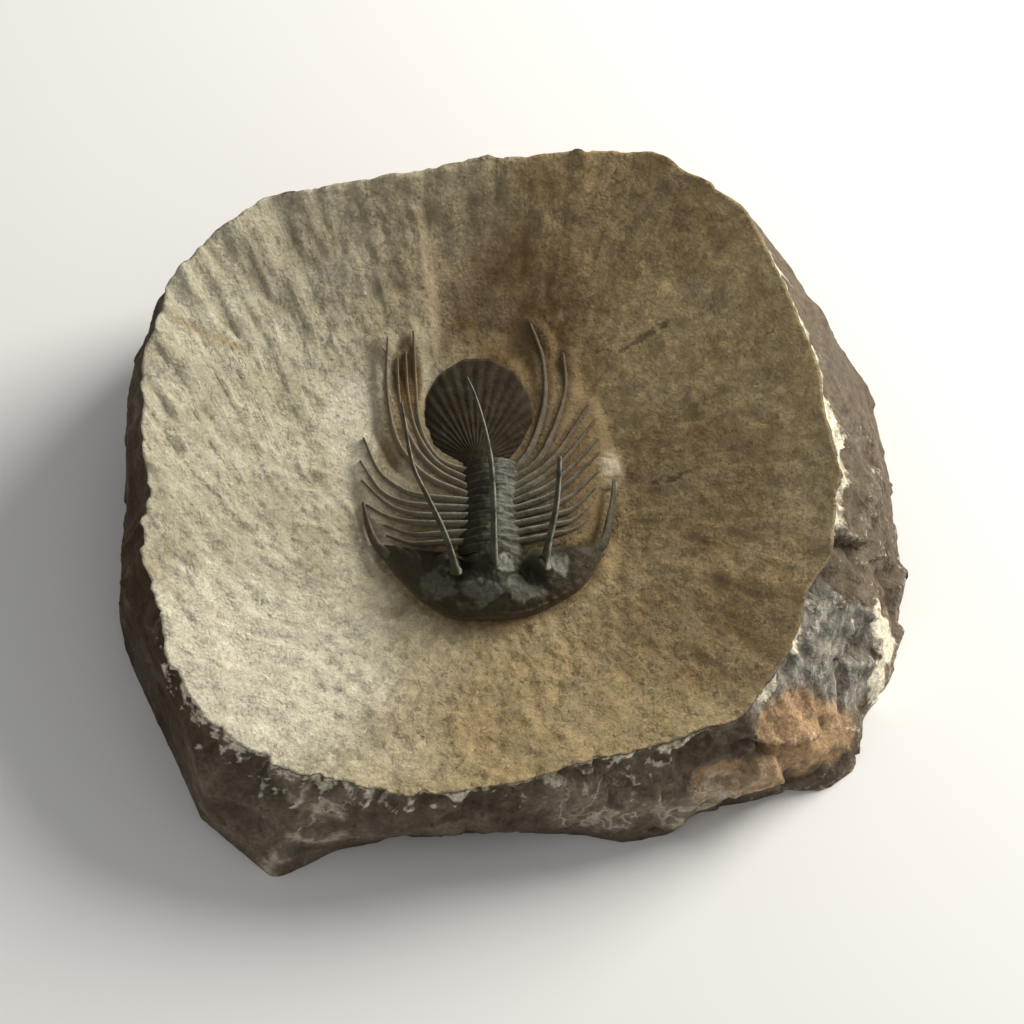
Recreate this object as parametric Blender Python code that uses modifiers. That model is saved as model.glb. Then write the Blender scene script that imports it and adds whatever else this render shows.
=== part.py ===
"""A spiny trilobite, left in the dished block of limestone that it was dug out of.

The frame is in metres with +Z up. Its origin is the middle of the block's underside. The head of the
trilobite points to -Y and its tail to +Y. The stone is one solid, and the fossil is one solid that lies in
the hollow. Sizes below are in millimetres and are turned to metres where the meshes are made.
"""

import math

import bmesh
import bpy
from mathutils import Matrix, Vector, noise

MM = 0.001
GAP = 0.35  # between the fossil's underside and the stone

# The block's outlines seen from above, anticlockwise from the right-hand side.
BASE_OUTLINE = (
    (61.4, -3), (60.5, -13), (58.5, -22), (54.5, -28), (54.5, -32), (52.5, -37), (48, -40.5), (41, -41),
    (36, -43), (28, -45), (23, -49), (17.5, -50), (12, -49), (-2, -48.5), (-18.5, -49.5), (-28, -51.5),
    (-31, -53.5), (-37, -56.3), (-41.5, -52), (-50, -44.5), (-56, -38), (-57, -31), (-57.5, -26),
    (-59.5, -23), (-61, -15), (-61.6, -9), (-60.5, 6), (-60.5, 20), (-58, 32), (-53, 41), (-46, 47),
    (-34, 52), (-18, 54.5), (0, 56), (12, 56.3), (24, 55), (35, 51), (44.5, 45), (52, 37), (57, 28),
    (60, 17), (61, 6),
)
RIM_OUTLINE = (
    (50.5, 0), (50, -3), (49, -13), (45, -18), (44, -24), (41, -30), (37, -36), (35, -39), (28.5, -41),
    (19, -44), (6.5, -47), (-2, -50), (-14.5, -51), (-22.5, -50), (-34, -47.5), (-42, -43), (-47.5, -38.5),
    (-53, -30.5), (-55.5, -18), (-57, -14), (-57.3, -8), (-56, -2), (-57.5, 3.5), (-58, 17.5),
    (-56.5, 22), (-54, 32), (-49.5, 36.5), (-47.5, 39.5), (-43, 42), (-38.5, 45.5), (-33.5, 46.5),
    (-26.5, 48), (-15, 49.5), (-4, 51.5), (9, 52.5), (21, 53), (29, 48.5), (36, 44), (40, 36),
    (42.5, 30.5), (46.5, 21), (48, 14), (49, 7),
)
RIM_MIDDLE_HEIGHT = 26.8
TILT = math.radians(10)  # the rim and the fossil both slope down toward the front
BOWL_DEPTH = 12.3
FOSSIL_CENTRE = (-3.6, 2.6)  # also the centre of the hollow
FLOOR_REACH = (21.0, 20.5, 24.5)  # of the flat floor: to the sides, the front and the back
STEP_UP = 0.9  # a small ledge of stone around the shell
SCOOP_BANK, SCOOP_DEPTH = -8.6, 1.9
DISH_LUMPS = 0.9
BELLY = 2.6  # how far the side walls swell out at half height
WIDE_LUMPS, SMALL_LUMPS, LEDGES = 1.5, 0.8, 0.9  # of the outside
LEDGE_HEIGHT = 4.5
UNDERSIDE_RING = 0.3  # as a share of the underside's outline
STONE_SEGMENTS = 84
FLOOR_FRACTIONS = (0.3, 0.75, 1.0)
SIDE_FRACTIONS = (0.06, 0.16, 0.3, 0.46, 0.64, 0.82, 0.94)
WALL_FRACTIONS = (0.0, 0.1, 0.25, 0.42, 0.6, 0.78, 0.93, 1.0)
# Broken faces of the outside: compass angle and upward lean in degrees, and distance from the middle.
BROKEN_FACES = (
    (-131, 4, 67.0), (-62, 12, 57.5), (-28, 22, 63.0), (2, 24, 64.5), (30, 26, 67.0), (62, 18, 65.5),
    (90, 0, 56.3), (140, 14, 68.5), (178, 2, 61.4), (-158, 2, 62.0), (-78, 6, 51.8),
)

# The fossil, in its own frame: x to the right, y to the tail, z out of the floor, from FOSSIL_CENTRE.
HEAD_OUTLINE = (
    (17.8, -8.3), (16.6, -11.6), (14.0, -15.0), (11.2, -16.9), (6.2, -19.4), (0.0, -20.2), (-6.2, -19.8),
    (-9.4, -18.0), (-12.0, -15.8), (-14.5, -13.0), (-16.5, -10.2), (-18.0, -7.5), (-16.3, -8.7),
    (-14.1, -10.0), (-11.2, -9.8), (-8.4, -8.9), (-5.0, -8.4), (0.0, -8.6), (5.0, -8.3), (10.0, -7.9),
    (15.2, -7.9),
)
HEAD_MIDDLE = (0.3, -13.2)
EDGE_HEIGHT, CHEEK_HEIGHT = 0.9, 4.2
# Middle, reach and height of the mounds on the head: the front lobe, the neck, and the left and right eye.
HEAD_MOUNDS = (
    ((0.3, -15.4), (8.8, 5.4), 7.0),
    ((0.3, -11.8), (5.4, 5.8), 7.6),
    ((-6.6, -12.6), (3.3, 3.1), 8.2),
    ((7.4, -12.6), (3.3, 3.1), 8.2),
)
MOUND_BLEND = 3.0  # higher blends them over a shorter way
HEAD_SEGMENTS = 72
HEAD_FRACTIONS = (1.0, 0.94, 0.84, 0.72, 0.6, 0.47, 0.34, 0.2, 0.08)
SUNK = -1.0  # how low the pieces of the shell reach before its underside is cut flat
AXIS_HALF_WIDTH = 4.9
AXIS_TAPER, AXIS_FLATNESS, AXIS_HEIGHT = 0.24, 0.92, 1.5
AXIS_FRONT, AXIS_BACK = -10.5, 6.2
AXIS_SIDES = 14
RING_COUNT = 10
RING_STEP = 0.45
# Where a ring's outline turns, as a share of its length, and how much of the step it has there.
RING_SHAPE = ((0.95, 0.0), (0.72, 1.0), (0.3, 0.6), (0.02, 0.0))
PLATE_MIDDLE, PLATE_HALF = (0.0, -2.6), (9.6, 8.4)
PLATE_PROFILE = ((0.95, SUNK), (1.0, 0.9), (0.86, 2.0), (0.6, 3.1), (0.25, 3.8))  # share of the reach, height
PLATE_SEGMENTS = 32
FAN_FOCUS = (-2.1, 5.2)
FAN_CENTRE = (-1.9, 13.4)
FAN_HALF = (8.5, 9.9)
FAN_PROFILE = ((0.96, SUNK), (1.0, 0.95), (0.88, 1.7), (0.64, 2.3), (0.38, 2.8), (0.14, 3.2))
FAN_RIBS = 26  # counted right round, of which 17 show behind the axis
FAN_SEGMENTS = FAN_RIBS * 4
RIB_HEIGHT, RIB_SCALLOP = 0.26, 0.012
RIBS_FULL_FROM = 3.5  # distance from the root at which the ribs have their full height
# Each pleura from the axis to its tip: x and y on the floor, and height over the stone.
RIGHT_PLEURAE = (
    ((4.2, -8.2, 3.9), (9.8, -6.4, 3.0), (12.7, -5.4, 1.9), (15.2, -3.6, 1.1)),
    ((4.2, -6.7, 4.0), (10.2, -4.6, 3.1), (12.8, -3.6, 1.9), (15.5, -1.4, 1.1)),
    ((4.2, -5.3, 4.1), (10.5, -2.6, 3.1), (13.2, -1.2, 2.0), (16.3, 1.6, 1.1)),
    ((4.2, -4.0, 4.1), (8.5, -1.8, 3.5), (11.2, -0.2, 2.9), (13.6, 1.7, 1.9), (16.8, 4.4, 1.1)),
    ((4.2, -2.7, 4.0), (8.5, 0.0, 3.4), (11.2, 2.2, 2.8), (14.0, 4.9, 1.8), (17.0, 7.6, 1.1)),
    ((4.2, -1.4, 3.9), (8.5, 1.7, 3.2), (11.2, 4.3, 2.6), (13.8, 6.9, 1.7), (16.8, 9.8, 1.1)),
    ((4.2, -0.1, 3.7), (8.2, 3.3, 3.0), (11.2, 6.4, 2.4), (13.6, 9.4, 1.6), (16.4, 13.0, 1.1)),
    ((4.1, 1.2, 3.5), (7.8, 4.4, 2.8), (10.4, 7.6, 2.2), (12.5, 11.0, 1.5), (15.4, 15.6, 1.1)),
    ((4.0, 2.5, 3.2), (7.3, 5.9, 2.5), (9.4, 10.2, 1.9), (10.9, 14.6, 1.5), (11.8, 19.0, 1.2),
     (11.4, 23.7, 1.1)),
    ((3.6, 3.8, 2.9), (5.9, 7.2, 2.3), (7.6, 12.0, 1.7), (8.6, 17.5, 1.4), (8.2, 23.5, 1.2),
     (6.3, 28.4, 1.1)),
)
LEFT_PLEURAE = (
    ((-4.2, -8.2, 3.9), (-7.8, -7.9, 3.4), (-12.2, -7.5, 1.9), (-16.0, -6.2, 1.1)),
    ((-4.2, -6.7, 4.0), (-8.2, -6.3, 3.4), (-12.2, -5.8, 2.0), (-16.5, -4.5, 1.1)),
    ((-4.2, -5.3, 4.1), (-9.1, -4.3, 3.3), (-13.2, -3.4, 2.0), (-16.3, -2.5, 1.4), (-19.2, -1.1, 1.1)),
    ((-4.2, -4.0, 4.1), (-9.4, -2.8, 3.2), (-13.4, -1.6, 2.0), (-16.6, 0.1, 1.4), (-19.9, 2.9, 1.1)),
    ((-4.2, -2.7, 4.0), (-9.8, -1.1, 3.1), (-13.6, 0.1, 2.0), (-17.0, 1.9, 1.4), (-20.2, 6.1, 1.1)),
    ((-4.2, -1.4, 3.9), (-9.6, 0.4, 3.0), (-13.4, 2.0, 2.0), (-17.2, 5.0, 1.3), (-19.7, 9.9, 1.1)),
    ((-4.2, -0.1, 3.7), (-8.8, 2.6, 3.0), (-12.0, 5.9, 2.2), (-14.8, 11.0, 1.5), (-16.1, 18.5, 1.2),
     (-16.0, 25.6, 1.1)),
    ((-4.1, 1.2, 3.5), (-8.0, 4.0, 2.8), (-11.0, 7.6, 2.0), (-13.1, 12.0, 1.5), (-14.2, 17.0, 1.2),
     (-14.5, 22.6, 1.1)),
    ((-4.0, 2.5, 3.2), (-7.6, 5.0, 2.5), (-10.0, 8.2, 1.9), (-11.9, 12.6, 1.4), (-12.9, 18.0, 1.2),
     (-13.2, 23.6, 1.1)),
    ((-3.6, 3.8, 2.9), (-7.3, 5.6, 2.4), (-9.8, 9.0, 1.8), (-11.2, 13.5, 1.5), (-11.7, 20.0, 1.2),
     (-12.0, 26.8, 1.1)),
)
PLEURA_RADIUS, PLEURA_TIP_RADIUS = 0.68, 0.22
CHEEK_SPINES = (
    ((-15.4, -9.8, 1.8), (-17.7, -7.6, 1.5), (-19.0, -4.2, 1.3), (-19.7, -0.8, 1.2)),
    ((15.4, -9.8, 1.8), (17.6, -7.4, 1.6), (18.6, -3.0, 1.6), (19.0, -0.4, 1.6), (19.2, 2.8, 1.6)),
)
CHEEK_SPINE_RADIUS, CHEEK_SPINE_TIP_RADIUS = 1.05, 0.28
# The long free-standing spines: neck, left eye and right eye.
HEAD_SPINES = (
    ((0.6, -13.0, 6.0), (0.6, -10.6, 9.0), (0.5, -5.0, 12.6), (0.1, 1.4, 14.2), (-0.9, 6.9, 14.0),
     (-2.3, 12.4, 12.6), (-3.6, 16.2, 11.0)),
    ((-5.4, -13.8, 6.0), (-5.9, -12.2, 8.8), (-7.2, -9.0, 11.2), (-9.5, -4.3, 12.6), (-11.9, 1.2, 12.5),
     (-13.2, 8.9, 11.2), (-13.7, 12.4, 10.0)),
    ((7.6, -13.0, 6.0), (8.4, -10.6, 8.8), (9.4, -8.0, 10.9), (10.1, -5.8, 12.2), (10.5, -2.4, 14.0),
     (10.7, 1.4, 15.5)),
)
HEAD_SPINE_RADII = ((1.05, 0.28), (0.95, 0.28), (0.95, 0.45))
CUTTER_SIZE = (60, 80, 10)

STONE_COLOUR = (0.42, 0.36, 0.26, 1.0)
SHELL_COLOUR = (0.028, 0.024, 0.02, 1.0)


def material(name, colour, roughness):
    """A plain finish for one piece."""
    made = bpy.data.materials.new(name)
    made.use_nodes = True
    surface = made.node_tree.nodes["Principled BSDF"]
    surface.inputs["Base Color"].default_value = colour
    surface.inputs["Roughness"].default_value = roughness
    surface.inputs["Metallic"].default_value = 0.0
    return made


def collection(name, hidden=False):
    """A collection for the object's pieces, or a hidden one for what they are made from."""
    made = bpy.data.collections.new(name)
    made.hide_render = hidden
    bpy.context.scene.collection.children.link(made)
    return made


def loft(name, sections, into):
    """A closed solid skinned over closed sections of equal length, from its bottom cap to its top cap."""
    shape = bmesh.new()
    rings = [[shape.verts.new(Vector(point) * MM) for point in section] for section in sections]
    count = len(rings[0])
    for lower, upper in zip(rings, rings[1:]):
        for i in range(count):
            j = (i + 1) % count
            shape.faces.new((lower[i], lower[j], upper[j], upper[i]))
    shape.faces.new(rings[0][::-1])
    shape.faces.new(rings[-1])
    mesh = bpy.data.meshes.new(name)
    shape.to_mesh(mesh)
    shape.free()
    made = bpy.data.objects.new(name, mesh)
    into.objects.link(made)
    return made


def outline_radius(outline, angle, centre=FOSSIL_CENTRE):
    """Distance from a centre to an outline in a direction, on the straight side that the ray crosses."""
    corners = [Vector(corner) - Vector(centre) for corner in outline]
    ray = Vector((math.cos(angle), math.sin(angle)))
    for start, end in zip(corners, corners[1:] + corners[:1]):
        if start.cross(ray) * ray.cross(end) >= 0 and ray.dot(start + end) > 0:
            return start.cross(end - start) / ray.cross(end - start)
    raise ValueError("the outline has to go round its centre")


def floor_radius(angle):
    """Distance from the hollow's centre to where its sides start to rise."""
    side, front, back = FLOOR_REACH
    reach = back if math.sin(angle) > 0 else front
    return 1 / math.hypot(math.cos(angle) / side, math.sin(angle) / reach)


def smooth_step(low, high, value):
    """From 0 at the low end to 1 at the high end, level at both."""
    share = min(max((value - low) / (high - low), 0.0), 1.0)
    return share * share * (3 - 2 * share)


def scoop(x, y, share):
    """Depth of the smooth channel from the tail up the back of the hollow, steep on its left bank."""
    across = x - (SCOOP_BANK - 0.16 * (y - 22))
    left, right = smooth_step(0, 2.2, across), 1 - smooth_step(6, 24, across)
    return SCOOP_DEPTH * left * right * smooth_step(19, 27, y) * (1 - smooth_step(0.55, 1.0, share))


def rise(x, y):
    """Height of the hollow's sides over its floor, at a place measured from the hollow's centre."""
    angle = math.atan2(y, x)
    start = floor_radius(angle)
    share = (math.hypot(x, y) - start) / (outline_radius(RIM_OUTLINE, angle) - start)
    if share <= 0:
        return 0.0
    share = min(share, 1.0)
    bowl = BOWL_DEPTH - STEP_UP
    sides = STEP_UP * min(share / 0.06, 1.0) + bowl * (0.78 * share + 0.22 * share**2)
    return max(sides - scoop(x, y, share), 0.0)


def dish_point(angle, distance):
    """The point of the hollow's surface in a direction from its centre."""
    x, y = distance * math.cos(angle), distance * math.sin(angle)
    floor = RIM_MIDDLE_HEIGHT - BOWL_DEPTH + math.tan(TILT) * (FOSSIL_CENTRE[1] + y)
    return Vector((FOSSIL_CENTRE[0] + x, FOSSIL_CENTRE[1] + y, floor + rise(x, y)))


def weathered(point, share):
    """A point of the outside wall, roughened, stepped and then broken flat. Its two ends move least."""
    outward = Vector((point.x, point.y, 0)).normalized()
    lumps = WIDE_LUMPS * noise.noise(point / 13) + SMALL_LUMPS * noise.noise(point / 5 + Vector((7, 3, 1)))
    level = Vector((point.x / 16, point.y / 16, math.floor(point.z / LEDGE_HEIGHT) * 1.7))
    ledge = LEDGES * (noise.noise(level) - 0.1)
    point = point + outward * (lumps + ledge) * math.sin(math.pi * share)
    for compass, lean, distance in BROKEN_FACES:
        turn, tip = math.radians(compass), math.radians(lean)
        facing = Vector((math.cos(turn) * math.cos(tip), math.sin(turn) * math.cos(tip), math.sin(tip)))
        over = facing.dot(point) - distance
        if over > 0:
            point = point - outward * over / max(facing.dot(outward), 0.5)
    return point


def make_stone(into):
    """The block: a wide dished hollow on top, broken sides that swell a little, and a flat underside."""
    angles = [2 * math.pi * i / STONE_SEGMENTS for i in range(STONE_SEGMENTS)]
    centre = Vector((FOSSIL_CENTRE[0], FOSSIL_CENTRE[1], 0))
    base = [centre + Vector((math.cos(a), math.sin(a), 0)) * outline_radius(BASE_OUTLINE, a) for a in angles]
    rim = [dish_point(a, outline_radius(RIM_OUTLINE, a)) for a in angles]
    sections = [[centre + (point - centre) * UNDERSIDE_RING for point in base]]
    for share in reversed(WALL_FRACTIONS):
        ring = []
        for top, foot in zip(rim, base):
            point = top.lerp(foot, share)
            outward = Vector((point.x, point.y, 0)).normalized()
            ring.append(weathered(point + outward * BELLY * math.sin(math.pi * share), share))
        sections.append(ring)
    stations = [(1.0, side) for side in reversed(SIDE_FRACTIONS)]
    stations += [(floor, 0.0) for floor in reversed(FLOOR_FRACTIONS)]
    for floor, side in stations:
        ring = []
        for a in angles:
            start, end = floor_radius(a), outline_radius(RIM_OUTLINE, a)
            point = dish_point(a, start * floor + (end - start) * side)
            sides = rise(point.x - FOSSIL_CENTRE[0], point.y - FOSSIL_CENTRE[1]) / BOWL_DEPTH
            point.z += DISH_LUMPS * sides * noise.noise(point / 7)
            ring.append(point)
        sections.append(ring)
    stone = loft("stone_matrix", sections, into)
    stone.data.materials.append(material("limestone", STONE_COLOUR, 0.9))
    return stone


def bump(x, y, centre, reach, height):
    """A smooth round mound, gone at its reach."""
    share = ((x - centre[0]) / reach[0]) ** 2 + ((y - centre[1]) / reach[1]) ** 2
    return height * max(0.0, 1 - share) ** 0.75


def head_height(x, y, share):
    """Height of the head's surface over the floor. The share is how near the place is to the head's edge."""
    mounds = [EDGE_HEIGHT + CHEEK_HEIGHT * (1 - share**2.6) ** 0.6]
    mounds += [bump(x, y, middle, reach, height) for middle, reach, height in HEAD_MOUNDS]
    # The mounds flow into each other where they meet.
    return math.log(sum(math.exp(MOUND_BLEND * height) for height in mounds)) / MOUND_BLEND


def make_head(into):
    """The head shield, with its middle lobe and the mounds of both eyes."""
    angles = [2 * math.pi * i / HEAD_SEGMENTS for i in range(HEAD_SEGMENTS)]
    middle = Vector(HEAD_MIDDLE)
    edge = []
    for a in angles:
        ray = Vector((math.cos(a), math.sin(a)))
        edge.append(middle + ray * outline_radius(HEAD_OUTLINE, a, HEAD_MIDDLE))
    sections = [[(*(middle + (point - middle) * 0.93), SUNK) for point in edge]]
    for share in HEAD_FRACTIONS:
        ring = [middle + (point - middle) * share for point in edge]
        sections.append([(p.x, p.y, head_height(p.x, p.y, share)) for p in ring])
    return loft("head_shield", sections, into)


def make_axis(into):
    """The ringed axis: a bumpy barrel turned around its own length, then stood in the floor."""
    length = AXIS_BACK - AXIS_FRONT
    profile = bpy.data.meshes.new("axis_profile")
    points = [(0.0, 0.0, length)]
    for ring in range(RING_COUNT, 0, -1):
        for part, step in RING_SHAPE:
            along = (ring - 1 + part) / RING_COUNT
            taper = 1 - AXIS_TAPER * along**1.6
            points.append((AXIS_HALF_WIDTH * taper + RING_STEP * (step - 1), 0.0, along * length))
    points.append((0.0, 0.0, 0.0))
    profile.from_pydata(points, [(i, i + 1) for i in range(len(points) - 1)], [])
    axis = bpy.data.objects.new("ringed_axis", profile)
    into.objects.link(axis)
    screw = axis.modifiers.new("turn", "SCREW")
    screw.axis = "Z"
    screw.steps = screw.render_steps = AXIS_SIDES
    screw.use_merge_vertices = True
    screw.merge_threshold = 0.0001
    return axis


def make_plate(into):
    """The side plates between the axis and the spines, one low arched sheet."""
    sections = []
    for share, height in PLATE_PROFILE:
        ring = []
        for i in range(PLATE_SEGMENTS):
            a = 2 * math.pi * i / PLATE_SEGMENTS
            x = PLATE_MIDDLE[0] + PLATE_HALF[0] * share * math.cos(a)
            y = PLATE_MIDDLE[1] + PLATE_HALF[1] * share * math.sin(a)
            ring.append((x, y, height))
        sections.append(ring)
    return loft("side_plates", sections, into)


def make_fan(into):
    """The fan tail: a low dome with ribs that spread from its root, and a scalloped edge."""
    sections = []
    for share, height in FAN_PROFILE:
        ring = []
        for i in range(FAN_SEGMENTS):
            a = 2 * math.pi * i / FAN_SEGMENTS
            across, along = math.cos(a), math.sin(a)
            off = (FAN_CENTRE[0] - FAN_FOCUS[0], FAN_CENTRE[1] - FAN_FOCUS[1])
            # Where a ray from the root meets the fan's oval edge.
            p = (across / FAN_HALF[0]) ** 2 + (along / FAN_HALF[1]) ** 2
            q = across * off[0] / FAN_HALF[0] ** 2 + along * off[1] / FAN_HALF[1] ** 2
            r = (off[0] / FAN_HALF[0]) ** 2 + (off[1] / FAN_HALF[1]) ** 2 - 1
            reach = (q + math.sqrt(q * q - p * r)) / p
            rib = math.cos(a * FAN_RIBS)
            reach *= share * (1 + RIB_SCALLOP * rib)
            lift = RIB_HEIGHT * rib * min(1.0, reach / RIBS_FULL_FROM) if height > 0 else 0.0
            ring.append((FAN_FOCUS[0] + reach * across, FAN_FOCUS[1] + reach * along, height + lift))
        sections.append(ring)
    return loft("tail_fan", sections, into)


def make_spine(name, points, radii, into, sides=2):
    """A tapered spine along a smooth line through its points, made a mesh so that it can be joined."""
    curve = bpy.data.curves.new(name, "CURVE")
    curve.dimensions = "3D"
    curve.bevel_depth = MM
    curve.bevel_resolution = sides
    curve.use_fill_caps = True
    line = smooth_line([Vector(point) for point in points], 2)
    spline = curve.splines.new("POLY")
    spline.points.add(len(line) - 1)
    for i, (target, place) in enumerate(zip(spline.points, line)):
        share = i / (len(line) - 1)
        target.co = (*(place * MM), 1)
        target.radius = radii[0] + (radii[1] - radii[0]) * share
    drawn = bpy.data.objects.new(name, curve)
    into.objects.link(drawn)
    bpy.context.view_layer.update()
    mesh = bpy.data.meshes.new_from_object(drawn.evaluated_get(bpy.context.evaluated_depsgraph_get()))
    welded = bmesh.new()
    welded.from_mesh(mesh)
    bmesh.ops.remove_doubles(welded, verts=welded.verts, dist=1e-6)
    bmesh.ops.recalc_face_normals(welded, faces=welded.faces)
    welded.to_mesh(mesh)
    welded.free()
    bpy.data.objects.remove(drawn)
    made = bpy.data.objects.new(name, mesh)
    into.objects.link(made)
    return made


def smooth_line(points, steps):
    """Points on a smooth curve through the given ones."""
    ends = [points[0] * 2 - points[1], *points, points[-1] * 2 - points[-2]]
    line = []
    for before, start, end, after in zip(ends, ends[1:], ends[2:], ends[3:]):
        for i in range(steps):
            t = i / steps
            bend = (2 * before - 5 * start + 4 * end - after) * t**2
            bend += (3 * start - before - 3 * end + after) * t**3
            line.append(0.5 * (2 * start + (end - before) * t + bend))
    return [*line, points[-1]]


def on_stone(points):
    """The points of a spine that lies along the stone, lifted by the hollow's side under each."""
    return [(x, y, height + rise(x, y) * math.cos(TILT)) for x, y, height in points]


def make_fossil(into, pieces):
    """The whole shell as one solid, standing a hair over the hollow's floor."""
    shell = make_head(into)
    shell.name = "trilobite"
    axis = make_axis(pieces)
    axis.scale = (MM, AXIS_FLATNESS * MM, MM)
    axis.rotation_euler = (-math.pi / 2, 0, 0)
    axis.location = Vector((0, AXIS_FRONT, AXIS_HEIGHT)) * MM
    make_plate(pieces)
    make_fan(pieces)
    for side, rows in (("right", RIGHT_PLEURAE), ("left", LEFT_PLEURAE)):
        for i, points in enumerate(rows, 1):
            radii = (PLEURA_RADIUS, PLEURA_TIP_RADIUS)
            make_spine(f"pleura_{side}_{i}", on_stone(points), radii, pieces, sides=1)
    for side, points in zip(("left", "right"), CHEEK_SPINES):
        radii = (CHEEK_SPINE_RADIUS, CHEEK_SPINE_TIP_RADIUS)
        make_spine(f"cheek_spine_{side}", on_stone(points), radii, pieces)
    for where, points, radii in zip(("neck", "left_eye", "right_eye"), HEAD_SPINES, HEAD_SPINE_RADII):
        make_spine(f"spine_{where}", points, radii, pieces)
    joined = shell.modifiers.new("join", "BOOLEAN")
    joined.operation = "UNION"
    joined.operand_type = "COLLECTION"
    joined.collection = pieces
    joined.solver = "EXACT"
    joined.use_self = True
    shell.data.materials.append(material("calcite_shell", SHELL_COLOUR, 0.45))
    return shell


def make_floor_cutter(into):
    """A box that takes away whatever part of the shell would sink into the floor."""
    bpy.ops.mesh.primitive_cube_add(size=1)
    cutter = bpy.context.active_object
    cutter.name = "under_the_shell"
    cutter.scale = Vector(CUTTER_SIZE) * MM
    cutter.location = Vector((0, 0, GAP - CUTTER_SIZE[2] / 2)) * MM
    for owner in list(cutter.users_collection):
        owner.objects.unlink(cutter)
    into.objects.link(cutter)
    return cutter


def main():
    """Builds the stone and the fossil."""
    for old in list(bpy.data.objects):
        bpy.data.objects.remove(old)
    kept = collection("trilobite_in_limestone")
    pieces = collection("shell_pieces", hidden=True)
    cutters = collection("cutters", hidden=True)
    make_stone(kept)
    shell = make_fossil(kept, pieces)
    cutter = make_floor_cutter(cutters)
    cut = shell.modifiers.new("flat_underside", "BOOLEAN")
    cut.operation = "DIFFERENCE"
    cut.object = cutter
    cut.solver = "EXACT"
    floor = dish_point(0.0, 0.0)
    place = bpy.data.objects.new("fossil_place", None)
    kept.objects.link(place)
    place.matrix_world = Matrix.Translation(floor * MM) @ Matrix.Rotation(TILT, 4, "X")
    for piece in (shell, cutter, *pieces.objects):
        piece.parent = place
    for helper in (cutter, *pieces.objects):
        helper.hide_render = True
        helper.display_type = "WIRE"


main()
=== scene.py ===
"""Looks of a spiny trilobite, left in the dished block of limestone that it was dug out of.

Lengths are in millimetres until a mesh is made, and a mesh is in metres. +Z is up, the head of the trilobite
points to -Y and its tail to +Y. Two frames are used: the block's own, whose origin is the middle of its underside,
and the fossil's, which starts in the middle of the hollow's floor and tilts with it.
"""

import logging
import math
from collections.abc import Mapping, Sequence
from dataclasses import dataclass, field
from enum import Enum

import bpy
import numpy as np
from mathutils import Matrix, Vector, noise

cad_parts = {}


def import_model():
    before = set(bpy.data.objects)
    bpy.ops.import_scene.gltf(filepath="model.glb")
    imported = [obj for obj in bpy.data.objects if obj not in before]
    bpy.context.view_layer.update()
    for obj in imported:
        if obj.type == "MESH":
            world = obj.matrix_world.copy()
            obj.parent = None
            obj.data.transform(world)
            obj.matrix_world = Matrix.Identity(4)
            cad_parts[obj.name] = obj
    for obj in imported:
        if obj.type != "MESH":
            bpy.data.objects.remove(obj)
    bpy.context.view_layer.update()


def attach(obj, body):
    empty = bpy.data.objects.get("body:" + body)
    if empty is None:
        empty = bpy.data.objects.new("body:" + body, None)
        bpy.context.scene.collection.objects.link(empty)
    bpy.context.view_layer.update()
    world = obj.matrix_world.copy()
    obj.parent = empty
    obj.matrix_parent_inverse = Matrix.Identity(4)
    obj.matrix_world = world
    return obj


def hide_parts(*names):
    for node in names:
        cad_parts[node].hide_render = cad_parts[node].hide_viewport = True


MM = 0.001
log = logging.getLogger("trilobite")

Outline = tuple[tuple[float, float], ...]
Line = tuple[tuple[float, float, float], ...]


class Zone(Enum):
    """A colour zone, kept on a mesh as a number from 0 to 1 at every point."""

    WARM = "warm"  # tan rather than cream limestone, laid toward the right of the hollow partly as painted shade
    STAIN_AND_SHADE = "stain_and_shade"  # brown stain, and painted shade in the hollow and on the shell
    WORKED = "worked"  # marked by the scribe
    RUST = "rust"
    SILVER = "silver"
    CREAM = "cream"  # freshly chipped, and painted highlight along lit edges and a painted pool of light in the hollow
    VEIN = "vein"
    DARK = "dark"
    LIGHT = "light"
    OLIVE = "olive"
    DUST = "dust"  # stone dust left on the shell
    WEAR_AND_SHEEN = "wear_and_sheen"  # shell rubbed pale, and painted sheen and highlight where it faces the lamp


class Side(Enum):
    """The trilobite's sides as the photograph shows them, with the sign of X there."""

    LEFT = -1
    RIGHT = 1


# Numbers and shapes that every sub-assembly uses.


def linear(colour: str) -> tuple[float, float, float, float]:
    """Turns an sRGB hex colour to linear light.

    Args:
        colour: six hex digits after a #.

    Returns:
        Red, green, blue and an alpha of 1.
    """
    shares = [int(colour[i : i + 2], 16) / 255 for i in (1, 3, 5)]
    bent = [share / 12.92 if share <= 0.04045 else ((share + 0.055) / 1.055) ** 2.4 for share in shares]
    return (bent[0], bent[1], bent[2], 1.0)


def per_mm(size: float) -> float:
    """The scale of a texture in object coordinates whose marks are this many millimetres apart."""
    return 1000 / size


def smooth_step(low: float, high: float, value: np.ndarray) -> np.ndarray:
    """From 0 at the low end to 1 at the high end, level at both."""
    share = np.clip((value - low) / (high - low), 0.0, 1.0)
    return share * share * (3 - 2 * share)


def rough(points: np.ndarray, size: float | Sequence[float], seed: float = 0.0) -> np.ndarray:
    """Smooth noise at points.

    Args:
        points: rows of x, y and z.
        size: how far apart the lumps are, in the points' units, one number or one for each axis.
        seed: moves the noise to another place.

    Returns:
        One number for each point, mostly from -0.7 to 0.7.
    """
    scaled = points / np.asarray(size, float) + np.array([seed, 1.7 * seed, -0.6 * seed])
    return np.fromiter((noise.noise(row) for row in scaled.tolist()), float, len(scaled))


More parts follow.
